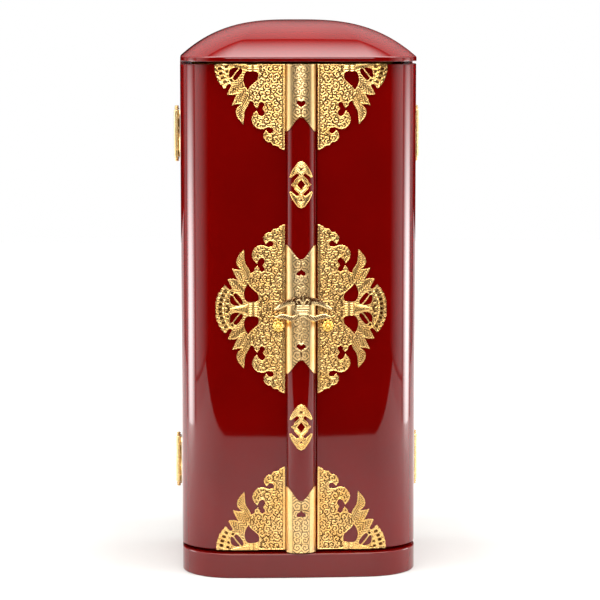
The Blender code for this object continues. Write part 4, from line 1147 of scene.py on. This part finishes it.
def hingeLeaf(side, flip, spot, leaf, own, spans, way, axisX, axisY):
    verts, faces, values = [], [], []
    knuckle, chamfer, bore = hinge["knuckle"] * mm, 0.25 * mm, hinge["bore"] * mm
    for a, b in own:
        profile = [(bore, a), (knuckle - chamfer, a), (knuckle, a + chamfer), (knuckle, a + 2 * chamfer),
                   (knuckle, b - 2 * chamfer), (knuckle, b - chamfer), (knuckle - chamfer, b), (bore, b),
                   (bore, a)]
        faces += placeRing(turned(profile, axisX, axisY, hinge["steps"], verts, values))
    # the leaf, a thin plate that reaches under its own knuckles and is lobed at its far side
    top, bottom = spans[-1][1], spans[0][0]
    near = []
    for span in spans:
        inset = 0.6 if span in own else 2.9
        near += [(inset * mm, span[0]), (inset * mm, span[1])]
    wide, lobe = hinge["width"] * mm, hinge["lobe"] * mm
    middle = (top + bottom) / 2
    far = [(wide - lobe, top), (wide - 0.7 * lobe, top - lobe * 0.3), (wide, top - lobe),
           (wide, middle + lobe), (wide - lobe * 0.5, middle), (wide, middle - lobe), (wide, bottom + lobe),
           (wide - 0.7 * lobe, bottom + lobe * 0.3), (wide - lobe, bottom)]
    loop = near + far
    move = outward(loop, closed=True)
    inside = doorHalf + 0.3 * mm
    first, count = len(verts), len(loop)
    for out, shrink in ((0, 0), (hinge["leaf"] - hinge["leafArris"], 0), (hinge["leaf"], hinge["leafArris"])):
        for (away, z), (mx, my) in zip(loop, move):
            verts.append((flip * (inside + out * mm), axisY + way * (away - mx * shrink * mm),
                          z - my * shrink * mm))
            # painted shade on the leaf's back face, where it lies against the side
            values.append(0.05 if out else 0.3)
    rows = [range(first + k * count, first + (k + 1) * count) for k in range(3)]
    turn = (flip * way) < 0
    caps = [tuple(rows[0])[::-1], tuple(rows[-1])]
    faces += placeRing(rows, turn) + ([cap[::-1] for cap in caps] if turn else caps)
    # four nail heads
    for share, away in hinge["nails"]:
        z = bottom + (top - bottom) * share
        headRows = []
        for k in range(5):
            turnUp = math.pi / 2 * k / 4.4
            radius = 0.85 * mm * math.cos(turnUp)
            headRows.append(range(len(verts), len(verts) + 14))
            for i in range(14):
                a = 2 * math.pi * i / 14
                verts.append((flip * (inside + 0.7 * mm + 0.55 * mm * math.sin(turnUp)),
                              axisY + way * (away * mm + radius * math.cos(a)), z + radius * math.sin(a)))
                # a ring of painted shadow where each nail head meets the leaf
                values.append(0.0 if k else 0.7)
        cap = tuple(headRows[-1])
        faces += placeRing(headRows, turn) + [cap[::-1] if turn else cap]
    makePiece(f"{side}{spot.capitalize()}Hinge{leaf.capitalize()}Leaf", verts, faces,
              "cabinet" if leaf == "fixed" else doorBodies[side], [paleGilt], [f"hinge_{leaf}_leaf_{side}_{spot}"],
              values=values)


def hingePin(side, spot, low, high, axisX, axisY):
    # a pin with the same turned finial at both ends
    verts, values = [], []
    r = hinge["finialRadius"] * mm
    shape = ((0.5, 0.02), (0.8, 0.1), (0.98, 0.24), (0.95, 0.36), (0.6, 0.46), (0.48, 0.53), (0.62, 0.6),
             (0.86, 0.7), (0.84, 0.8), (0.55, 0.93), (0.12, 1.0))
    upper = [(r * w, high + (hinge["gap"] + hinge["finial"] * t) * mm) for w, t in shape]
    lower = [(r * w, low - (hinge["gap"] + hinge["finial"] * t) * mm) for w, t in shape]
    shaft = [(hinge["pin"] * mm, low - 0.2 * mm), (hinge["pin"] * mm, high + 0.2 * mm)]
    rows = turned(lower[::-1] + shaft + upper, axisX, axisY, hinge["steps"], verts, values)
    faces = placeRing(rows) + [tuple(rows[0])[::-1], tuple(rows[-1])]
    makePiece(f"{side}{spot.capitalize()}HingePin", verts, faces, "cabinet", [paleGilt],
              [f"hinge_pin_{side}_{spot}"], values=values)


def makeHinges():
    for side, flip in (("right", 1), ("left", -1)):
        for spot in ("top", "bottom"):
            pinLow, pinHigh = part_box(f"hinge_pin_{side}_{spot}")
            axisX, axisY = (pinLow.x + pinHigh.x) / 2, (pinLow.y + pinHigh.y) / 2
            total = sum(hinge["lengths"])
            low = (pinLow.z + pinHigh.z) / 2 - total / 2 * mm
            spans, at = [], low
            for length in hinge["lengths"]:
                spans.append((at + hinge["gap"] / 2 * mm, at + (length - hinge["gap"] / 2) * mm))
                at += length * mm
            hingeLeaf(side, flip, spot, "fixed", spans[0::2], spans, 1, axisX, axisY)
            hingeLeaf(side, flip, spot, "door", spans[1::2], spans, -1, axisX, axisY)
            hingePin(side, spot, low, low + total * mm, axisX, axisY)


makeHinges()
print("hinges made")


# floor, lights and camera

studio = {
    "floorFront": -0.735, "floorBack": 3.0, "floorHalf": 3.0, "floor": "#c2c0bd",
    "floorGlow": (0.05, 1.0), "floorGlowFrom": (0.15, 0.9),
    "paper": "#ffffff", "air": "#15161a", "airStrength": 0.6,
    # each lamp: place, what it faces, width and height, glow, how much of its width and height fades out
    "lamps": {
        # tall ones at both sides, a little behind the doors, give the upright glints on the corners
        "leftSoftbox": ((-0.80, 0.14, 0.13), (0, -0.02, 0.13), (0.48, 0.76), 14, (0.9, 1.0)),
        "leftBounce": ((-0.88, 0.02, 0.67), (0, -0.02, 0.67), (1.6, 1.26), 1.9, (0.95, 0.02)),
        "rightSoftbox": ((0.80, 0.14, 0.13), (0, -0.02, 0.13), (0.48, 0.76), 14, (0.9, 1.0)),
        "rightBounce": ((0.88, 0.02, 0.67), (0, -0.02, 0.67), (1.6, 1.26), 1.9, (0.95, 0.02)),
        "topSoftbox": ((0, -0.20, 1.10), (0, -0.07, 0.44), (3.2, 1.1), 10.0, (0.5, 1.0)),
        "rearSoftbox": ((0, 0.8, 1.5), (0, 0, 0.45), (3.6, 2.6), 1.0, (0.5, 1.0)),
        # a broad one above the camera lights the gilding; upright lacquer never mirrors it
        "frontSoftbox": ((0, -2.4, 0.96), (0, 0, 0.3), (1.9, 1.05), 7.0, (0.5, 0.1)),
    },
    "camera": (-0.0932, -1.9645, 0.4442), "target": (0.0029, 0.0, 0.2198), "lens": 141.4, "sensor": 36,
}


def stageSheet(name, corners):
    data = bpy.data.meshes.new(name)
    data.from_pydata(corners, [], [(0, 1, 2, 3)])
    sheet = bpy.data.objects.new(name, data)
    bpy.context.scene.collection.objects.link(sheet)
    return sheet


def makeFloor():
    # matt pale paper with a faint, slow change of tone
    half, front, back = studio["floorHalf"], studio["floorFront"], studio["floorBack"]
    sheet = stageSheet("studioFloor", [(-half, front, 0), (half, front, 0), (half, back, 0), (-half, back, 0)])
    material, tree, shader, coords = newMaterial("studioFloorPaper")
    grain = addNode(tree, "ShaderNodeTexNoise", {"Scale": perMetre(25), "Detail": 2.0}, {"Vector": coords})
    tone = addNode(tree, "ShaderNodeValToRGB", {}, {"Fac": grain.outputs["Fac"]})
    pale = hexColour(studio["floor"])
    setRamp(tone, [(0.0, tuple(c * 0.985 for c in pale[:3]) + (1,)), (1.0, pale)])
    tree.links.new(tone.outputs["Color"], shader.inputs["Base Color"])
    shader.inputs["Roughness"].default_value = 0.8
    shader.inputs["Emission Color"].default_value = hexColour(studio["paper"])
    # past the reach of the lamps the floor glows by itself, so that it stays white to its edge
    parts = addNode(tree, "ShaderNodeSeparateXYZ", {}, {"Vector": coords})
    sideways = addNode(tree, "ShaderNodeMath", {"operation": "ABSOLUTE"}, {0: parts.outputs["X"]})
    furthest = addNode(tree, "ShaderNodeMath", {"operation": "MAXIMUM"},
                       {0: sideways.outputs[0], 1: parts.outputs["Y"]})
    (fromMin, fromMax), (toMin, toMax) = studio["floorGlowFrom"], studio["floorGlow"]
    glow = addNode(tree, "ShaderNodeMapRange",
                   {"From Min": fromMin, "From Max": fromMax, "To Min": toMin, "To Max": toMax},
                   {"Value": furthest.outputs[0]})
    tree.links.new(glow.outputs["Result"], shader.inputs["Emission Strength"])
    sheet.data.materials.append(material)


def addLamp(name, place, target, size, glow, softness):
    # a glowing screen, brightest in the middle and fading over its outer part
    panel = stageSheet(name, [(x, y, 0) for x, y in ((-1, -1), (1, -1), (1, 1), (-1, 1))])
    panel.location = place
    panel.rotation_euler = (Vector(target) - Vector(place)).to_track_quat("-Z", "Y").to_euler()
    panel.scale = (size[0] / 2, size[1] / 2, 1)
    material, tree, shader, coords = newMaterial(name + "Silk")
    shader.inputs["Base Color"].default_value = (0.02, 0.02, 0.02, 1)
    shader.inputs["Emission Color"].default_value = hexColour(studio["paper"])
    parts = addNode(tree, "ShaderNodeSeparateXYZ", {}, {"Vector": coords})
    fades = []
    for axis, fade in zip(("X", "Y"), softness):
        away = addNode(tree, "ShaderNodeMath", {"operation": "ABSOLUTE"}, {0: parts.outputs[axis]})
        fades.append(addNode(tree, "ShaderNodeMapRange", {"From Min": 1.0, "From Max": 1.0 - fade,
                             "interpolation_type": "SMOOTHSTEP"}, {"Value": away.outputs[0]}))
    both = addNode(tree, "ShaderNodeMath", {"operation": "MULTIPLY"},
                   {0: fades[0].outputs["Result"], 1: fades[1].outputs["Result"]})
    strength = addNode(tree, "ShaderNodeMath", {"operation": "MULTIPLY", 1: glow}, {0: both.outputs[0]})
    tree.links.new(strength.outputs[0], shader.inputs["Emission Strength"])
    panel.data.materials.append(material)
    panel.visible_camera = False   # so that no view is blocked by a lamp


def makeStudio():
    makeFloor()
    for name, lamp in studio["lamps"].items():
        addLamp(name, *lamp)
    world = bpy.data.worlds.new("studioAir")
    world.use_nodes = True
    # dim air round the lamps; only the eye sees the white paper behind the object
    tree = world.node_tree
    air = tree.nodes["Background"]
    air.inputs["Color"].default_value = hexColour(studio["air"])
    air.inputs["Strength"].default_value = studio["airStrength"]
    paper = addNode(tree, "ShaderNodeBackground", {"Color": hexColour(studio["paper"])})
    rays = addNode(tree, "ShaderNodeLightPath")
    mixed = addNode(tree, "ShaderNodeMixShader", {}, {0: rays.outputs["Is Camera Ray"],
                    1: air.outputs["Background"], 2: paper.outputs["Background"]})
    tree.links.new(mixed.outputs["Shader"], tree.nodes["World Output"].inputs["Surface"])
    bpy.context.scene.world = world
    bpy.context.scene.view_settings.view_transform = "Standard"

    # the camera was fitted to the photograph's outline of roof, doors and base
    data = bpy.data.cameras.new("studioCamera")
    data.lens, data.sensor_width = studio["lens"], studio["sensor"]
    data.clip_start, data.clip_end = 0.05, 20
    camera = bpy.data.objects.new("studioCamera", data)
    bpy.context.scene.collection.objects.link(camera)
    camera.location = studio["camera"]
    aim = Vector(studio["target"]) - Vector(studio["camera"])
    camera.rotation_euler = aim.to_track_quat("-Z", "Y").to_euler()
    bpy.context.scene.camera = camera


makeStudio()
print("studio made")
